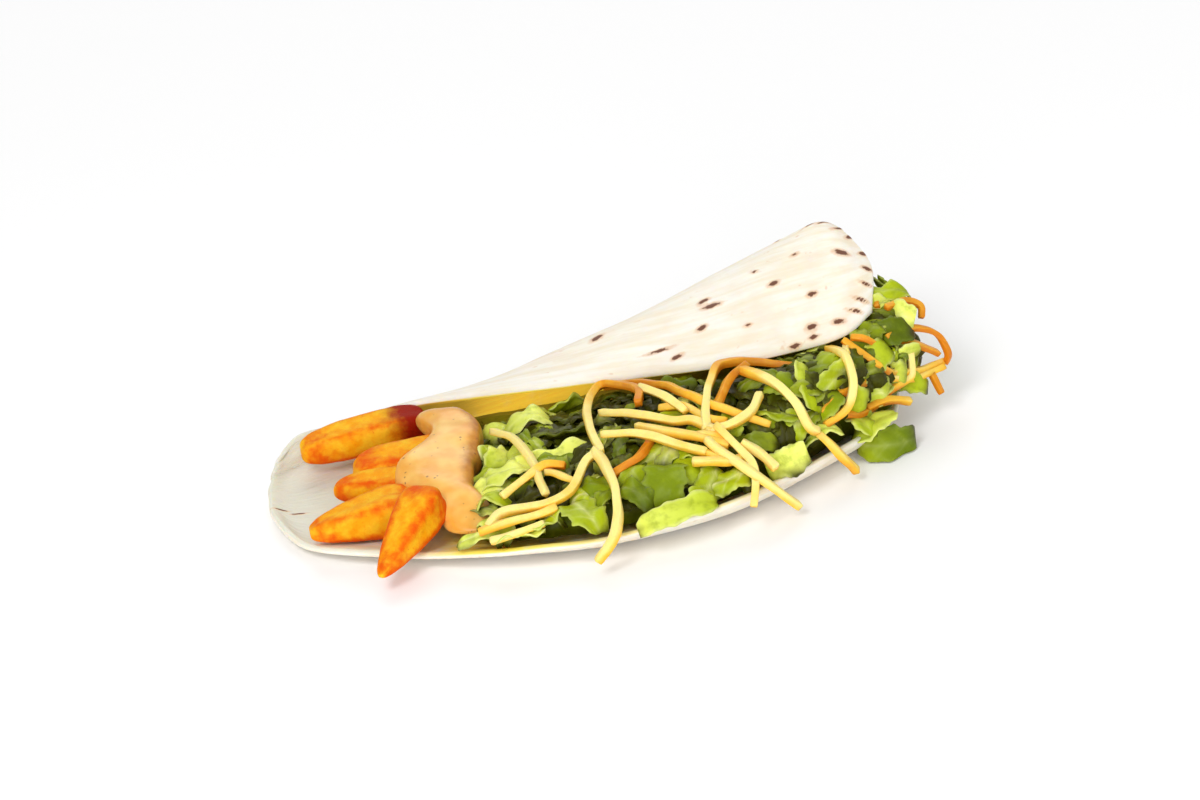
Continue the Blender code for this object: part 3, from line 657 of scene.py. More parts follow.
@dataclass(frozen=True)
class PotatoFinish:
    """Fried potato: golden faces, red-orange edges, a mottled, seasoned crust, and undersides painted
    redder as shade.
    """

    gold: Colour = (0.88, 0.34, 0.003)
    bright: Colour = (0.90, 0.50, 0.018)
    edge: Colour = (0.76, 0.10, 0.001)
    deep: Colour = (0.30, 0.012, 0.001)

    def material(self) -> Material:
        """Build the material: edges, with painted shade that reddens the underside, and the deep, seasoned
        part follow painted values.
        """
        n = Nodes("potato_crust")
        mottle = n.noise(3.2, 5)
        base = n.mix(n.ramp(mottle, 0.35, 0.68), self.gold, self.bright)
        # Painted shade: the painted edge value is raised on the underside of each wedge.
        edge = n.uneven(n.painted("edge"), n.noise(2.4, 4), 1.5)
        base = n.mix(n.ramp(edge, 0.15, 1.2), base, self.edge)
        speck = n.ramp(n.noise(1.1, 2), 0.66, 0.76)
        base = n.mix(n.times(speck, 0.5), base, self.edge)
        deep = n.uneven(n.painted("deep"), n.noise(3.0, 4), 0.7)
        base = n.mix(n.ramp(deep, 0.15, 0.85), base, self.deep)
        normal = n.bump(n.noise(0.6, 4), 0.2, 0.8, n.bump(n.noise(2.2, 3), 0.25, 0.5))
        return n.food(base, normal, 0.55, 0.07, (0.15, (1.0, 0.35, 0.02), 0.0015))


@dataclass(frozen=True)
class SauceFinish:
    """Glossy peach-coloured cream with fine specks of spice, painted darker on its right side and underside
    as shade.
    """

    cream: Colour = (0.81, 0.37, 0.045)
    light: Colour = (0.92, 0.56, 0.135)
    dark: Colour = (0.42, 0.13, 0.008)
    speck: Colour = (0.30, 0.12, 0.04)
    specks_per_metre: float = 560.0

    def material(self) -> Material:
        """Build the material: the thin, darker rim follows a painted value, painted shade on the right side
        and underside and a darker tone towards the back.
        """
        n = Nodes("sauce_cream")
        base = n.mix(n.ramp(n.noise(7, 2), 0.25, 0.75), self.cream, self.light)
        # Painted shade: the rim value darkens the right side and underside, and also the back.
        rim = n.uneven(n.painted("rim"), n.noise(3, 3), 0.6)
        base = n.mix(n.ramp(rim, 0.25, 1.0), base, self.dark)
        cells = n.add("ShaderNodeTexVoronoi", Vector=n.place, Scale=self.specks_per_metre)
        some = n.times(n.ramp(n.noise(2.4, 1), 0.56, 0.64), 0.8)
        base = n.mix(n.times(n.ramp(cells.outputs["Distance"], 0.26, 0.12), some), base, self.speck)
        normal = n.bump(n.noise(2.5, 3), 0.25, 0.5)
        return n.food(base, normal, 0.3, 0.45, (0.25, (1.2, 0.6, 0.25), 0.002))


@dataclass(frozen=True)
class LettuceFinish:
    """Crisp leaf: bright yellow-green blade, pale ribs, and painted shade that makes it darker and browner
    deep in the heap.
    """

    dark: Colour = (0.13, 0.19, 0.001)
    blade: Colour = (0.43, 0.52, 0.008)
    fresh: Colour = (0.84, 0.90, 0.17)
    mottle: Colour = (0.25, 0.32, 0.003)
    rib: Colour = (0.93, 0.94, 0.46)
    deep: Colour = (0.045, 0.045, 0.001)

    def material(self) -> Material:
        """Build the material: ribs, tone and painted shade for depth in the heap follow painted values."""
        n = Nodes("lettuce_leaf")
        tone = n.painted("tone")
        base = n.mix(n.ramp(tone, 0.0, 0.5), self.dark, self.blade)
        base = n.mix(n.ramp(tone, 0.5, 1.0), base, self.fresh)
        base = n.mix(n.times(n.ramp(n.noise(2.6, 4), 0.45, 0.75), 0.55), base, self.mottle)
        base = n.mix(n.times(n.painted("rib"), 0.8), base, self.rib)
        # Painted shade: leaves darken towards a near-black olive deep in the heap.
        shade = n.uneven(n.painted("deep"), n.noise(4, 3), 0.5)
        base = n.mix(n.ramp(shade, 0.1, 0.95), base, self.deep)
        normal = n.bump(n.noise(1.5, 4), 0.22, 0.6, n.bump(n.painted("rib"), 0.3, 0.5))
        return n.food(base, normal, 0.4, 0.16, (0.2, (0.8, 0.9, 0.03), 0.0015))


@dataclass(frozen=True)
class CheeseFinish:
    """Shredded yellow cheese: pale and buttery, with painted shade that turns it orange where it lies in
    shade and underneath.
    """

    pale: Colour = (0.98, 0.79, 0.27)
    gold: Colour = (0.96, 0.54, 0.045)
    deep: Colour = (0.66, 0.21, 0.006)

    def material(self) -> Material:
        """Build the material: each shred has its own painted tone, deeper orange for painted shade."""
        n = Nodes("cheese_shred")
        # Painted shade: deeper tones turn the cheese orange.
        tone = n.uneven(n.painted("tone"), n.noise(4, 3), 0.5)
        base = n.mix(n.ramp(tone, 0.0, 0.55), self.pale, self.gold)
        base = n.mix(n.ramp(tone, 0.45, 1.1), base, self.deep)
        normal = n.bump(n.noise(0.9, 3), 0.12, 0.5)
        return n.food(base, normal, 0.42, 0.2, (0.3, (1.2, 0.7, 0.06), 0.0018))


# Pieces


@dataclass
class Tortilla:
    """The folded sheet of dough, thinner and rounded at its rim."""

    sections: tuple[Section, ...] = SECTIONS
    along: int = 230
    across: int = 200
    undulation: float = 0.4
    flat_size: tuple[float, float] = (0.165, 0.120)   # of the sheet in m, for the noise of its finish

    def section_line(self, s: Section, count: int) -> Array:
        """Points of one cross section: front rim, floor, wall, ridge and edge of the flap."""
        (rim_y, rim_z), (wall_y, wall_z) = s.rim, s.wall
        span = wall_y - rim_y
        heel = wall_y - max(0.9 * (wall_z - s.floor) + 1, 0.2 * span)
        flat = rim_y + min(20, 0.4 * span)
        bowed = s.x + s.bow
        crown = (np.array(s.ridge) + np.array(s.edge)) / 2
        points = [
            (s.x, rim_y, rim_z),
            (s.x + 0.6 * s.bow, rim_y + min(9, 0.2 * span), s.floor + 0.25 * (rim_z - s.floor)),
            (bowed, flat, s.floor),
            (bowed, (flat + heel) / 2, s.floor),
            (bowed, heel, s.floor),
            (s.x + 0.7 * s.bow, wall_y - 0.27 * (wall_y - heel), s.floor + 0.3 * (wall_z - s.floor)),
            (s.x + (s.bow + s.lean) / 2, wall_y, wall_z),
            (s.x + s.lean, *s.ridge),
            (s.x + s.flare, crown[0], crown[1] + s.bulge),
            (s.x, *s.edge),
        ]
        return curve_through(np.array(points), count, bend=16)

    def middle(self, along: int, across: int) -> Array:
        """Middle surface of the sheet: its sections, joined by smooth cubics along the fold."""
        rows = np.array([self.section_line(section, across) for section in self.sections])
        ext = np.concatenate([2 * rows[:1] - rows[1:2], rows, 2 * rows[-1:] - rows[-2:-1]])
        u = np.linspace(0, len(rows) - 1, along + 1)
        i = np.minimum(u.astype(int), len(rows) - 2)
        grid = catmull_rom(ext[i], ext[i + 1], ext[i + 2], ext[i + 3], (u - i)[:, None, None])
        grid[..., 2] = np.maximum(grid[..., 2], FLOOR)
        return grid

    @staticmethod
    def normals(grid: Array) -> Array:
        """Ways out of the sheet on its inner side: the cross product of its two slopes."""
        return unit(np.cross(np.gradient(grid, axis=0), np.gradient(grid, axis=1)))

    @staticmethod
    def toast_field(grid: Array, spots: tuple[Toast, ...]) -> Array:
        """How toasted each point is: 1 in a spot's middle, 0 at its outline, less beyond.

        Each spot is an ellipse in the two slopes of the sheet at its middle.
        """
        rows, columns = grid.shape[0] - 1, grid.shape[1] - 1
        far_level = -1.5
        level = np.full(grid.shape[:2], far_level)
        for spot in spots:
            i, j = min(round(spot.u * rows), rows - 1), min(round(spot.v * columns), columns - 1)
            ahead = unit(grid[i + 1, j] - grid[i, j])
            side = unit(grid[i, j + 1] - grid[i, j])
            sideways, along = turned(side, ahead, math.radians(spot.turn))
            offset = grid - grid[i, j]
            a, b, c = offset @ along, offset @ sideways, offset @ np.cross(ahead, side)
            away = np.sqrt((a / spot.length)**2 + (b / (0.85 * spot.width))**2 + (c / spot.width)**2)
            far = np.linalg.norm(offset, axis=-1) > 3 * spot.length
            level = np.maximum(level, np.where(far, far_level, spot.strength - away))
        return level

    @staticmethod
    def from_rim(grid: Array, axis: int) -> Array:
        """How far each point is along the sheet from the nearer end of that axis of the grid, in mm."""
        step = np.moveaxis(np.linalg.norm(np.gradient(grid, axis=axis), axis=-1), axis, 0)
        near = np.minimum(np.cumsum(step, 0) - step[:1], (np.cumsum(step[::-1], 0) - step[-1:])[::-1])
        return np.moveaxis(near, 0, axis)

    def surface(self) -> Surface:
        """Both sides of the sheet with a half-round rim between them.

        Each side is the middle surface moved out by half the thickness, which falls off towards the rim
        with the square root of a circle's profile. Soft noise moves both sides together.
        """
        grid = self.middle(self.along, self.across)
        out = self.normals(grid)
        wavy = self.undulation * lattice_noise(grid, 13, 1) * clamp((grid[..., 2] - 1.5) / 4)
        grid = grid + out * wavy[..., None]
        near = np.minimum(self.from_rim(grid, 0), self.from_rim(grid, 1))
        rim = clamp(near / 4)
        half = THICK / 2 * (RIM_SHARE + (1 - RIM_SHARE) * np.sqrt(rim * (2 - rim)))
        half *= 0.35 + 0.65 * np.sqrt(clamp(1 - (1 - clamp(near / 0.5))**2))
        sides, toasts = [], []
        for side, spots in ((Side.INNER, INNER_TOASTS), (Side.OUTER, OUTER_TOASTS)):
            toast = self.toast_field(grid, spots)
            blister = 0.16 * clamp(toast + 0.9)
            points = grid + out * (side.value * (half + blister))[..., None]
            points[..., 2] = np.maximum(points[..., 2], 0)
            sides.append(points)
            toasts.append(toast)
        return Surface.sheet(*sides, self.paint(grid) | {"toast": np.array(toasts)})

    def paint(self, grid: Array) -> dict[str, Array]:
        """Values for the finish: the place on the sheet, and what colours only the inner side, painted
        shade and the painted glow among them.
        """
        rows, columns = grid.shape[:2]
        u, v = np.meshgrid(np.linspace(0, 1, rows), np.linspace(0, 1, columns), indexing="ij")
        place = np.stack([u * self.flat_size[0], v * self.flat_size[1], 0 * u], -1)
        x, height = grid[..., 0], grid[..., 2]
        stain = self.stain(x, v)
        wall = clamp((v - 0.5) / 0.1) * clamp((35 - x) / 35)
        # The wall is darker brown at its left end, and painted shade darkens its foot above the heap.
        left = np.exp(-((x + 38) / 9)**2)
        low = clamp((13 - height) / 4) * clamp((x + 40) / 10)
        scorch = wall * clamp(left + 0.45 * low)
        # Painted glow on the stained wall, weaker where the wall is painted darker.
        glow = stain * wall * (1 - 0.45 * scorch)
        inner = {"stain": stain, "inside": np.ones_like(u), "glow": glow, "scorch": scorch}
        both = {name: np.stack([value, 0 * value]) for name, value in inner.items()}
        return both | {"sheet": np.stack([place, place])}

    @staticmethod
    def stain(x: Array, v: Array) -> Array:
        """How far oil has coloured the inside: under the filling, more up the wall beside it."""
        covered = clamp((x + 50) / 14)
        wall = clamp((v - 0.45) / 0.15)
        front = clamp((0.22 - v) / 0.1) * np.exp(-((x + 28) / 20)**2)
        fade = 1 - 0.75 * clamp((x - 25) / 40)
        return covered * clamp(0.55 + 0.4 * wall + 0.4 * front) * fade

    def build(self) -> None:
        """Make the piece that stands for the tortilla."""
        self.surface().piece("tortilla_sheet", TortillaFinish().material(), "tortilla", ["tortilla"])


@dataclass
class PotatoWedge:
    """One fried wedge: a rounded block that narrows, bows and has three worn edges."""

    number: int
    middle: tuple[float, float, float]
    half: tuple[float, float, float]
    turn: float
    pitch: float
    narrow: float
    bow: float
    deep: float = 0.0
    ruddy: float = 0.0
    square: float = 4.0
    rings: int = 110
    places: int = 96

    def surface(self) -> Surface:
        """A superellipsoid, worn at its edges, narrowed, bowed, turned and roughened."""
        theta = np.linspace(0.02, math.pi - 0.02, self.rings)[:, None]
        phi = np.linspace(0, 2 * math.pi, self.places, endpoint=False)[None]
        wide = np.sin(theta)
        co = np.stack([np.cos(theta) + 0 * phi, wide * np.cos(phi), wide * np.sin(phi)], -1)
        co /= (np.abs(co)**self.square).sum(-1, keepdims=True)**(1 / self.square)
        along = co[..., 0].copy()
        boxy = np.sort(np.abs(co), -1)
        # Red-orange edges, and painted shade that makes the underside of each wedge redder.
        edge = self.ruddy + 0.9 * clamp((boxy[..., 1] - 0.3) / 0.6) + 0.5 * clamp(0.2 - co[..., 2])
        co *= self.half
        worn = 1 + 0.07 * np.cos(3 * np.arctan2(co[..., 2], co[..., 1]) + self.turn)
        co[..., 1:] *= (worn * (1 - self.narrow * 1.2 * (0.5 - 0.5 * along)**1.7))[..., None]
        rough = 0.22 * lattice_noise(co, 6, self.number) + 0.07 * lattice_noise(co, 1.8, self.number + 9)
        co *= (1 + rough / 6)[..., None]
        co[..., 1] += self.bow * (1 - along**2)
        level, height = turned(co[..., 0], co[..., 2], math.radians(self.pitch))
        x, y = turned(level, co[..., 1], math.radians(self.turn))
        points = np.stack([x, y, height], -1) + self.middle
        deep = self.deep * clamp((along - 0.1) / 0.7)
        return Surface.tube(points, {"edge": edge, "deep": deep}, reverse=True)

    def build(self, finish: Material) -> None:
        """Make the piece that stands for this wedge."""
        name = f"potato_wedge_{self.number}"
        self.surface().piece(f"{name}_fried", finish, "potato", [name])


WEDGES = (
    PotatoWedge(1, (-56.2, 5.1, 9.0), (16.9, 5.2, 5.0), 10, 0, 0.16, 0.3, deep=1.1),
    PotatoWedge(2, (-45.5, -15.5, 8.5), (14.4, 6.4, 5.7), 3, 0, 0.06, 0.4, deep=0.4, ruddy=0.22),
    PotatoWedge(3, (-53.6, -26.8, 7.8), (13.0, 5.8, 5.4), -22, -3, 0.42, 2.0, ruddy=0.15),
    PotatoWedge(4, (-58.8, -41.4, 8.0), (14.0, 7.0, 6.0), 5, 2, 0.50, 0.6),
    PotatoWedge(5, (-48.9, -58.4, 10.3), (14.7, 6.6, 5.0), 57, 19, 0.64, -0.4, deep=0.15, ruddy=0.2),
)


@dataclass
class Sauce:
    """A soft, lumpy band of cream that runs forward over the wedges."""

    stations: tuple[tuple[float, ...], ...] = SAUCE
    rings: int = 150
    places: int = 110

    def surface(self) -> Surface:
        """Boxy rings of changing width along the stations, with waves round the ring and soft noise."""
        line = curve_through(np.array(self.stations), self.rings - 1)
        swell = np.sqrt(1 - np.abs(np.linspace(-0.97, 0.985, len(line)))**8)
        angle = np.linspace(0, 2 * math.pi, self.places, endpoint=False)[None]
        x, y, z, wide, high = (column[:, None] for column in line.T)
        lump = 1 + 0.04 * np.sin(2 * angle + y * 0.35) + 0.03 * np.sin(3 * angle - y * 0.5)
        boxy = lump * (np.abs(np.cos(angle))**3 + np.abs(np.sin(angle))**3)**(-1 / 3)
        across, up = np.cos(angle) * boxy, np.sin(angle) * boxy
        wide, high = wide * swell[:, None], high * swell[:, None]
        points = np.stack([x + wide * across, y + 0 * angle, z + high * up], -1)
        soft = 0.5 * lattice_noise(points, 8, 5) + 0.12 * lattice_noise(points, 3.5, 6)
        points += unit(points - np.stack([x, y, z], -1)) * soft[..., None]
        # Painted shade on the right side and underside, and darker towards the back.
        rim = clamp(across * 1.2 - 0.35) + 0.35 * clamp(-up) + 0.35 * clamp((y + 18) / 14)
        return Surface.tube(points, {"rim": rim}, reverse=True)

    def build(self) -> None:
        """Make the piece that stands for the sauce."""
        self.surface().piece("sauce_cream", SauceFinish().material(), "sauce", ["sauce"])


@dataclass
class HeapFace:
    """The visible face of the heap, on which leaves and shreds are placed by x and height."""

    faces: tuple[Face, ...] = FACES

    def measures(self, x: float) -> Array:
        """Foot, top, bulge and back height of the face at x, between those given."""
        rows = [(face.x, *face.foot, *face.top, face.bulge, face.back) for face in self.faces]
        places, *measures = np.array(rows).T
        return np.array([np.interp(x, places, measure) for measure in measures])

    def line(self, x: float) -> Array:
        """Points up the face at x: down in front of the rim, over it, and in a bulge up to the flap."""
        *ends, bulge, _ = self.measures(x)
        foot, top = np.reshape(ends, (2, 2))
        start = foot + (3, 2.6)
        run = top - start
        out = np.array([-run[1], run[0]]) / np.linalg.norm(run)
        t = np.linspace(0, 1, 13)[:, None]
        rise = start + run * t + out * bulge * 4 * t * (1 - t)
        hang = [(foot[0] - 5.6, 2.4), (foot[0] - 5.0, foot[1] - 2), (foot[0] - 2.6, foot[1] + 1.6)]
        line = np.vstack([hang, rise])
        return np.column_stack([np.full(len(line), x), line])

    def at(self, x: float, height: float, lift: float = 0.0) -> tuple[Array, Array, Array]:
        """The point of the face at x and a height, with the way up the face and the way out of it.

        Args:
            x: place along the fold in mm.
            height: height square to the slope of the view in mm.
            lift: how far the point stands off the face in mm.

        Returns:
            The point, the unit vector up the face and the one out of it.
        """
        line = self.line(x)
        seen = np.maximum.accumulate(height_on_heap(line)) + np.arange(len(line)) * 1e-6
        step = np.gradient(line, axis=0)
        point = np.array([np.interp(height, seen, column) for column in line.T])
        up = unit(np.array([np.interp(height, seen, column) for column in step.T]))
        out = np.array([0, -up[2], up[1]])
        return point + out * lift, up, out


@dataclass
class HeapCore:
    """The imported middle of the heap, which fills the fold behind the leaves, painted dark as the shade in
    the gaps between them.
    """

    tortilla: Tortilla
    face: HeapFace
    depth: float = 2.6
    start: float = -30
    end: float = 74
    count: int = 85

    def rings(self) -> list[Array]:
        """Cross sections that follow the lining of the fold and then the face of the heap."""
        grid = self.tortilla.middle(60, 88)
        inner = grid + Tortilla.normals(grid) * (THICK / 2 + 1.3)
        rings = []
        for x in np.linspace(self.start, self.end, self.count):
            lining = np.array([[np.interp(x, inner[:, j, 0], inner[:, j, k]) for k in range(3)]
                               for j in range(6, 86, 2)])
            back = self.face.measures(x)[-1]
            top = self.face.line(x)[-1]
            share = np.maximum((lining[:, 1] - top[1]) / (BACK - top[1]), 0)
            lining[:, 2] = np.minimum(lining[:, 2], top[2] + (back - top[2]) * share)
            front = curve_through(self.face.line(x)[4:-1], 39)[::-1] + (0, 0.4 * self.depth, -self.depth)
            rings.append(np.vstack([lining, front]))
        return rings

    def surface(self) -> Surface:
        """The rings with rounded ends, roughened by noise."""
        rings = self.rings()
        first, last = rings[0].mean(0), rings[-1].mean(0)
        start, end = [], []
        for t in (1, 0.6, 0.3):
            start.append(first + (rings[0] - first) * (1, 1 - 0.2 * t, 1 - 0.5 * t) - (3 * t, 0, 0))
        for t in (0.25, 0.5, 0.75, 1):
            narrow = 1 - 0.35 * t * t
            end.append(last + (rings[-1] - last) * (1, narrow, narrow) + (CORE_END * t, 0, 0))
        solid = np.array(start + rings + end)
        middle = solid.mean(1, keepdims=True)
        rough = 0.9 * lattice_noise(solid, 6, 21) + 0.6 * lattice_noise(solid, 2.6, 22) - 0.9
        solid += unit(solid - middle) * rough[..., None]
        solid[..., 2] = np.maximum(solid[..., 2], THICK + 0.2)
        # Painted shade: the core is dark olive and shows as the shade in the gaps between the leaves.
        deep = 0.7 + 0.25 * lattice_noise(solid, 5, 24)
        paint = {"rib": 0 * deep, "tone": np.full_like(deep, 0.1), "deep": deep}
        return Surface.tube(solid, paint, reverse=True)

    def build(self, finish: Material) -> None:
        """Make the piece that stands for the middle of the heap."""
        self.surface().piece("heap_core", finish, "lettuce", ["lettuce_cheese"])


@dataclass
class Lettuce:
    """Leaves of lettuce on the face of the heap, and small shreds in the gaps between them."""

    face: HeapFace
    end_ring: Array
    thickness: float = 0.7
    wave_seed: int = 11
    detail_seed: int = 5

    # Least and greatest width, length, angle, tone and shade of the small shreds.
    upper_sizes: ClassVar = ((2.5, 8, -80, 0.1, 0.0), (5, 14, 80, 0.9, 0.5))
    lower_sizes: ClassVar = ((3.5, 8, -90, 0.0, 0.3), (6, 14, 90, 0.6, 0.75))
    end_sizes: ClassVar = ((3.5, 8, -25, 0.0, 0.0), (5.5, 12, 25, 0.8, 0.7))

    def on_face(self, place: Leaf) -> Axes:
        """Where a leaf on the face of the heap lies."""
        spot, up, out = self.face.at(place.x, place.height)
        return spot, np.array([1.0, 0, 0]), up, out

    def leaf(self, place: Leaf, axes: Axes, lift: Array, s: Array, t: Array, rng: Draws) -> Surface:
        """One leaf: a wavy sheet whose outline narrows to both ends, with ruffled long edges.

        It gets painted shade, browner and darker, where it goes down into the heap.

        Args:
            place: its size, turn and tone.
            axes: its middle, the two ways along the heap there and the way out of it.
            lift: how far each point stands off the face, in mm.
            s: place along the leaf from -1 to 1, for each point.
            t: place across the leaf from -1 to 1, for each point.
            rng: picks the ruffles.

        Returns:
            The leaf as a closed surface.
        """
        spot, right, up, out = axes
        sideways, ahead = turned(up, right, math.radians(place.angle))
        phase = rng.uniform(0, 6, 5)
        ragged = 1 + (0.09 * np.sin(9 * s + phase[0]) + 0.05 * np.sin(19 * s + phase[1])) * np.abs(t)**3
        outline = t * np.sqrt(1 - 0.3 * s**2 - 0.42 * s**6) * ragged
        ruffle = 0.65 * t**2 * np.sin(7 * s + 1.5 * np.sign(t) + phase[2])
        ruffle += 0.25 * np.sin(5 * t + 4 * s + phase[3])
        rise = lift + ruffle
        forward = s[..., None] * ahead * place.length / 2
        aside = outline[..., None] * sideways * place.width / 2
        middle = spot + forward + aside + rise[..., None] * out
        half = self.thickness / 2 * np.sqrt(np.clip(1.05 - np.maximum(np.abs(s), np.abs(t))**8, 0.03, 1))
        offset = Tortilla.normals(middle) * half[..., None]
        sides = [middle + offset, middle - offset]
        for side in sides:
            side[..., 2] = np.maximum(side[..., 2], 0.3)
        bright = max(0.0, math.sin(phase[4])) * min(1.0, 2 * place.tone)
        edge = 0.45 * min(1.0, 1.5 * place.tone) * clamp((np.abs(t) - 0.75) / 0.25)
        veins = np.exp(-(np.sin(5 * s + 3 * np.abs(t)) / 0.3)**2) * (1 - np.abs(t)) * 0.45
        rib = bright * (np.exp(-(t / 0.14)**2) * (0.6 - 0.3 * s) + veins) + edge
        # Painted shade: darker for the leaf's own shade value and where it dips into the heap.
        deep = place.shade + np.clip((0.8 - rise) / 4.5, 0, 0.9)
        paint = {"rib": rib, "tone": place.tone + 0.22 * math.cos(phase[4]) * s, "deep": deep}
        return Surface.sheet(*sides, {name: np.stack([value, value]) for name, value in paint.items()})

    def leaves(self) -> list[Surface]:
        """The leaves of the CAD model at the same places and with the same waves, flatter and finer."""
        rng, detail = np.random.default_rng(self.wave_seed), np.random.default_rng(self.detail_seed)
        s, t = square_grid(*LEAF_GRID)
        made = []
        for place in LEAVES:
            wave = 0.8 * np.sin(3.4 * s + rng.uniform(0, 6)) * (0.4 + 0.6 * np.abs(t))
            side = rng.choice([-1, 1])
            if rng.uniform() < 0.5:
                lift = 2.0 + wave - 1.7 * (1 - side * t)**1.3 - 0.8 * s**4
            else:
                lift = 2.2 + wave - 4.4 * np.abs(s)**3 + 0.7 * side * t
            made.append(self.leaf(place, self.on_face(place), lift, s, t, detail))
        for place in LOW_LEAVES:
            lift = 0.6 + 0.7 * np.sin(3.2 * s + detail.uniform(0, 6)) - 3.0 * np.abs(s)**3 - 0.8 * t**2
            made.append(self.leaf(place, self.on_face(place), lift, s, t, detail))
        return made

    def scattered(self, count: int, seed: int, pick: Callable) -> list[Surface]:
        """Small shreds at random.

        Args:
            count: number of places to try.
            seed: gives another arrangement.
            pick: gives place, axes and lift of one shred, or nothing where none may lie.

        Returns:
            The shreds.
        """
        rng = np.random.default_rng(seed)
        s, t = square_grid(*SHRED_GRID)
        made = []
        for _ in range(count):
            if shred := pick(s, t, rng):
                made.append(self.leaf(*shred, s, t, rng))
        return made

    def upper(self, s: Array, t: Array, rng: Draws) -> tuple[Leaf, Axes, Array] | None:
        """A shred on the face, under the leaves and mostly in their shade, with some painted shade, but in
        no dark gap.
        """
        x = rng.uniform(-29, 84)
        seen = height_on_heap(self.face.line(x)[3:])
        base, curl = rng.uniform(-2.0, 0.6), rng.uniform(-1.8, 1.8)
        lift = base + 0.7 * np.sin(3 * s + rng.uniform(0, 6)) + curl * t * np.abs(s) - 2.2 * np.abs(s)**3
        height = rng.uniform(seen.min() + 0.5, seen.max() + 1)
        place = Leaf(x, height, *rng.uniform(*self.upper_sizes))
        if any(abs(x - gx) < wide and abs(height - gh) < high for gx, gh, wide, high in GAPS):
            return None
        return place, self.on_face(place), lift

    def lower(self, s: Array, t: Array, rng: Draws) -> tuple[Leaf, Axes, Array]:
        """A shred under the others, with painted shade, as likely at any place from rim to flap."""
        x = rng.uniform(-29, 78)
        line = self.face.line(x)[3:]
        walked = np.r_[0, np.cumsum(np.linalg.norm(np.diff(line, axis=0), axis=1))]
        height = np.interp(rng.uniform(0.15, 1.0) * walked[-1], walked, height_on_heap(line))
        place = Leaf(x, height, *rng.uniform(*self.lower_sizes))
        lift = rng.uniform(-1.8, -0.2) + 0.7 * np.sin(3 * s + rng.uniform(0, 6)) - 1.6 * np.abs(s)**3
        return place, self.on_face(place), lift

    def ending(self, s: Array, t: Array, rng: Draws) -> tuple[Leaf, Axes, Array]:
        """A shred on the end of the heap's core, which shows in the open right end of the fold."""
        middle = self.end_ring.mean(0)
        way = (self.end_ring[rng.integers(len(self.end_ring))] - middle) * (0, 1, 1)
        share = rng.uniform(0.05, 1 - 3.4 / np.linalg.norm(way))
        reach = CORE_END * math.sqrt(min(1, (1 - share) / 0.35)) + 1.1
        spot = middle + way * share + (reach, 0, 0)
        out = unit(np.array([1.0, 0, 0]) + unit(way) * max(share - 0.5, 0) * 1.5)
        right = unit(np.cross(out, way))
        place = Leaf(0, 0, *rng.uniform(*self.end_sizes))
        lift = rng.uniform(0, 1.2) + 0.6 * np.sin(3 * s + rng.uniform(0, 6)) - 1.2 * np.abs(s)**3
        return place, (spot, right, np.cross(out, right), out), lift

    def build(self, finish: Material) -> None:
        """Make the two pieces of lettuce that stand for the heap with the others."""
        Surface.joined(self.leaves()).piece("lettuce_leaves", finish, "lettuce", ["lettuce_cheese"])
        shreds = []
        for count, seed, pick in ((110, 3, self.upper), (170, 14, self.lower), (76, 6, self.ending)):
            shreds += self.scattered(count, seed, pick)
        Surface.joined(shreds).piece("lettuce_shreds", finish, "lettuce", ["lettuce_cheese"])


@dataclass
class Cheese:
    """Shreds of cheese that lie across the face of the heap, some hanging free."""

    face: HeapFace
    radius: float = 1.0
    corner: float = 0.78
    seed: int = 8

    quarter_turns: ClassVar = (((1, 0), (0, 1)), ((0, 1), (-1, 0)), ((-1, 0), (0, -1)), ((0, -1), (1, 0)))

    def shred(self, strand: Strand, rng: Draws) -> Surface:
        """One shred: a square profile with worn corners, carried along a smooth curve on the face.

        The two ways across the curve come from the way that the curve turns least towards.
        """
        count = len(strand.points)
        lifts = spread(strand.lifts, count) + 0.6 * np.sin(math.pi * np.linspace(0, 1, count))
        line = np.array([self.face.at(*point, lift)[0] for point, lift in zip(strand.points, lifts)])
        line = curve_through(line, max(20, 9 * count))
        line += 0.22 * np.stack([lattice_noise(line, 5, seed) for seed in rng.integers(0, 99, 3)], -1)
        line[:, 2] = np.maximum(line[:, 2], self.radius + 0.4)
        tangent = unit(np.gradient(line, axis=0))
        least = np.linalg.svd(tangent)[2][-1]
        first = unit(np.cross(tangent, least))
        second = np.cross(tangent, first)
        quarter = np.array([(1, -self.corner), (1, 0), (1, self.corner), (0.93, 0.93)])
        profile = np.concatenate([quarter @ np.array(turn) for turn in self.quarter_turns])
        t = np.linspace(-1, 1, len(line))
        size = self.radius * strand.girth * (1 + 0.06 * np.sin(5 * t + rng.uniform(0, 6)))
        size[[0, -1]] *= 0.86
        roll = (rng.uniform(0, 3) + rng.uniform(-0.8, 0.8) * t)[:, None]
        a, b = turned(*profile.T, roll)
        across = a[..., None] * first[:, None] + b[..., None] * second[:, None]
        rings = line[:, None] + across * size[:, None, None]
        tone = spread(strand.tones, len(line))
        # Painted shade: the underside of each shred gets a deeper, more orange tone.
        return Surface.tube(rings, {"tone": tone[:, None] + 0.5 * clamp(0.3 - across[..., 2])})

    def build(self) -> None:
        """Make the piece of cheese that stands for the heap with the others."""
        rng = np.random.default_rng(self.seed)
        shreds = Surface.joined([self.shred(strand, rng) for strand in STRANDS])
        shreds.piece("cheese_shreds", CheeseFinish().material(), "lettuce", ["lettuce_cheese"])


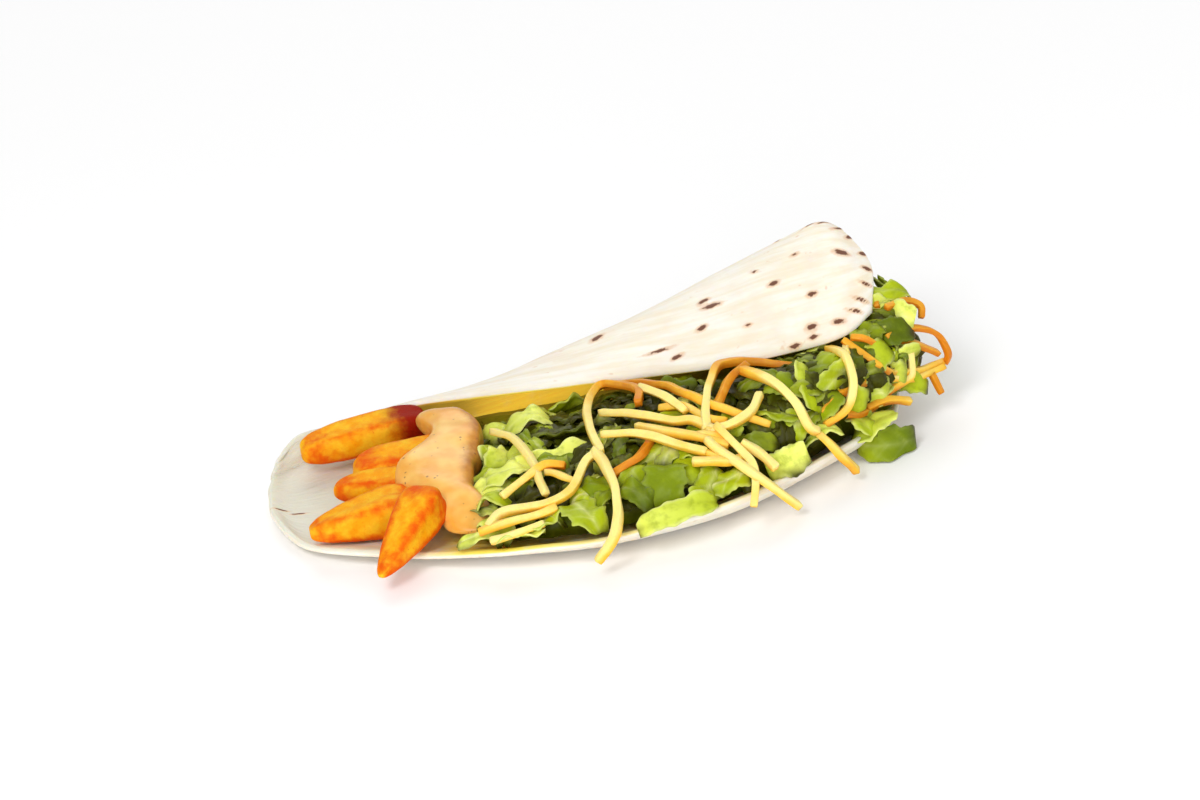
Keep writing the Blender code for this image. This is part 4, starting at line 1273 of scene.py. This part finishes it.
@dataclass
class Studio:
    """A plain pale floor, soft light and a camera at the photograph's angle."""

    aim: tuple[float, float, float] = (-0.0012, 0.002, 0.023)
    elevation: float = 25.0
    roll: float = 10.0
    lens: float = 220.0
    sensor: float = 36.0
    wide: float = 0.3038
    floor_size: float = 3.0
    floor_drop: float = 0.0002

    # Name, place, size in m and power in W of each lamp.
    lamps: ClassVar = (
        ("key", (-0.35, -0.75, 0.9), 0.45, 5.6), ("fill", (0.75, -0.6, 0.5), 0.8, 1.2),
        ("low", (-0.1, -1.1, 0.25), 0.7, 5), ("back", (0.1, 1.3, 1.2), 1.2, 9),
    )

    def floor(self) -> None:
        """A large pale plane under the taco."""
        mesh = bpy.data.meshes.new("floor")
        size = self.floor_size
        mesh.from_pydata([(-size, -size, 0), (size, -size, 0), (size, size, 0), (-size, size, 0)],
                         [], [(0, 1, 2, 3)])
        obj = bpy.data.objects.new("floor", mesh)
        bpy.context.scene.collection.objects.link(obj)
        obj.location.z = -self.floor_drop
        white = (1.0, 1.0, 1.0)
        finish = Nodes("floor_white").finish(Base_Color=white, Roughness=0.95, Specular_IOR_Level=0.2)
        mesh.materials.append(finish)

    def lamp(self, name: str, place: tuple[float, float, float], size: float, power: float) -> None:
        """A square soft light that faces the taco."""
        data = bpy.data.lights.new(name, "AREA")
        data.size = size
        data.energy = power
        obj = bpy.data.objects.new(name, data)
        obj.location = place
        obj.rotation_euler = (Vector(self.aim) - Vector(place)).to_track_quat("-Z", "Y").to_euler()
        bpy.context.scene.collection.objects.link(obj)

    def camera(self) -> None:
        """A long lens at the photograph's elevation, rolled so that the fold rises to the right."""
        data = bpy.data.cameras.new("camera")
        data.lens = self.lens
        data.sensor_width = self.sensor
        away = self.wide * self.lens / self.sensor
        tilt = math.radians(self.elevation)
        obj = bpy.data.objects.new("camera", data)
        obj.location = Vector(self.aim) + away * Vector((0, -math.cos(tilt), math.sin(tilt)))
        look = Euler((math.radians(90 - self.elevation), 0, 0)).to_matrix()
        obj.rotation_euler = (look @ Euler((0, 0, math.radians(-self.roll))).to_matrix()).to_euler()
        bpy.context.scene.collection.objects.link(obj)
        bpy.context.scene.camera = obj

    def build(self) -> None:
        """Set up floor, lights, surroundings and camera."""
        self.floor()
        for lamp in self.lamps:
            self.lamp(*lamp)
        world = bpy.data.worlds.new("surroundings")
        world.use_nodes = True
        background = world.node_tree.nodes["Background"]
        background.inputs["Color"].default_value = (1, 1, 1, 1)
        background.inputs["Strength"].default_value = 0.52
        bpy.context.scene.world = world
        bpy.context.scene.view_settings.view_transform = "Standard"
        self.camera()


def main() -> None:
    """Build the pieces and the studio."""
    logging.basicConfig(level=logging.INFO, format="%(message)s")
    tortilla = Tortilla()
    face = HeapFace()
    tortilla.build()
    crust = PotatoFinish().material()
    for wedge in WEDGES:
        wedge.build(crust)
    Sauce().build()
    leaf = LettuceFinish().material()
    core = HeapCore(tortilla, face)
    core.build(leaf)
    Lettuce(face, core.rings()[-1]).build(leaf)
    Cheese(face).build()
    Studio().build()


if __name__ == "__main__":
    main()
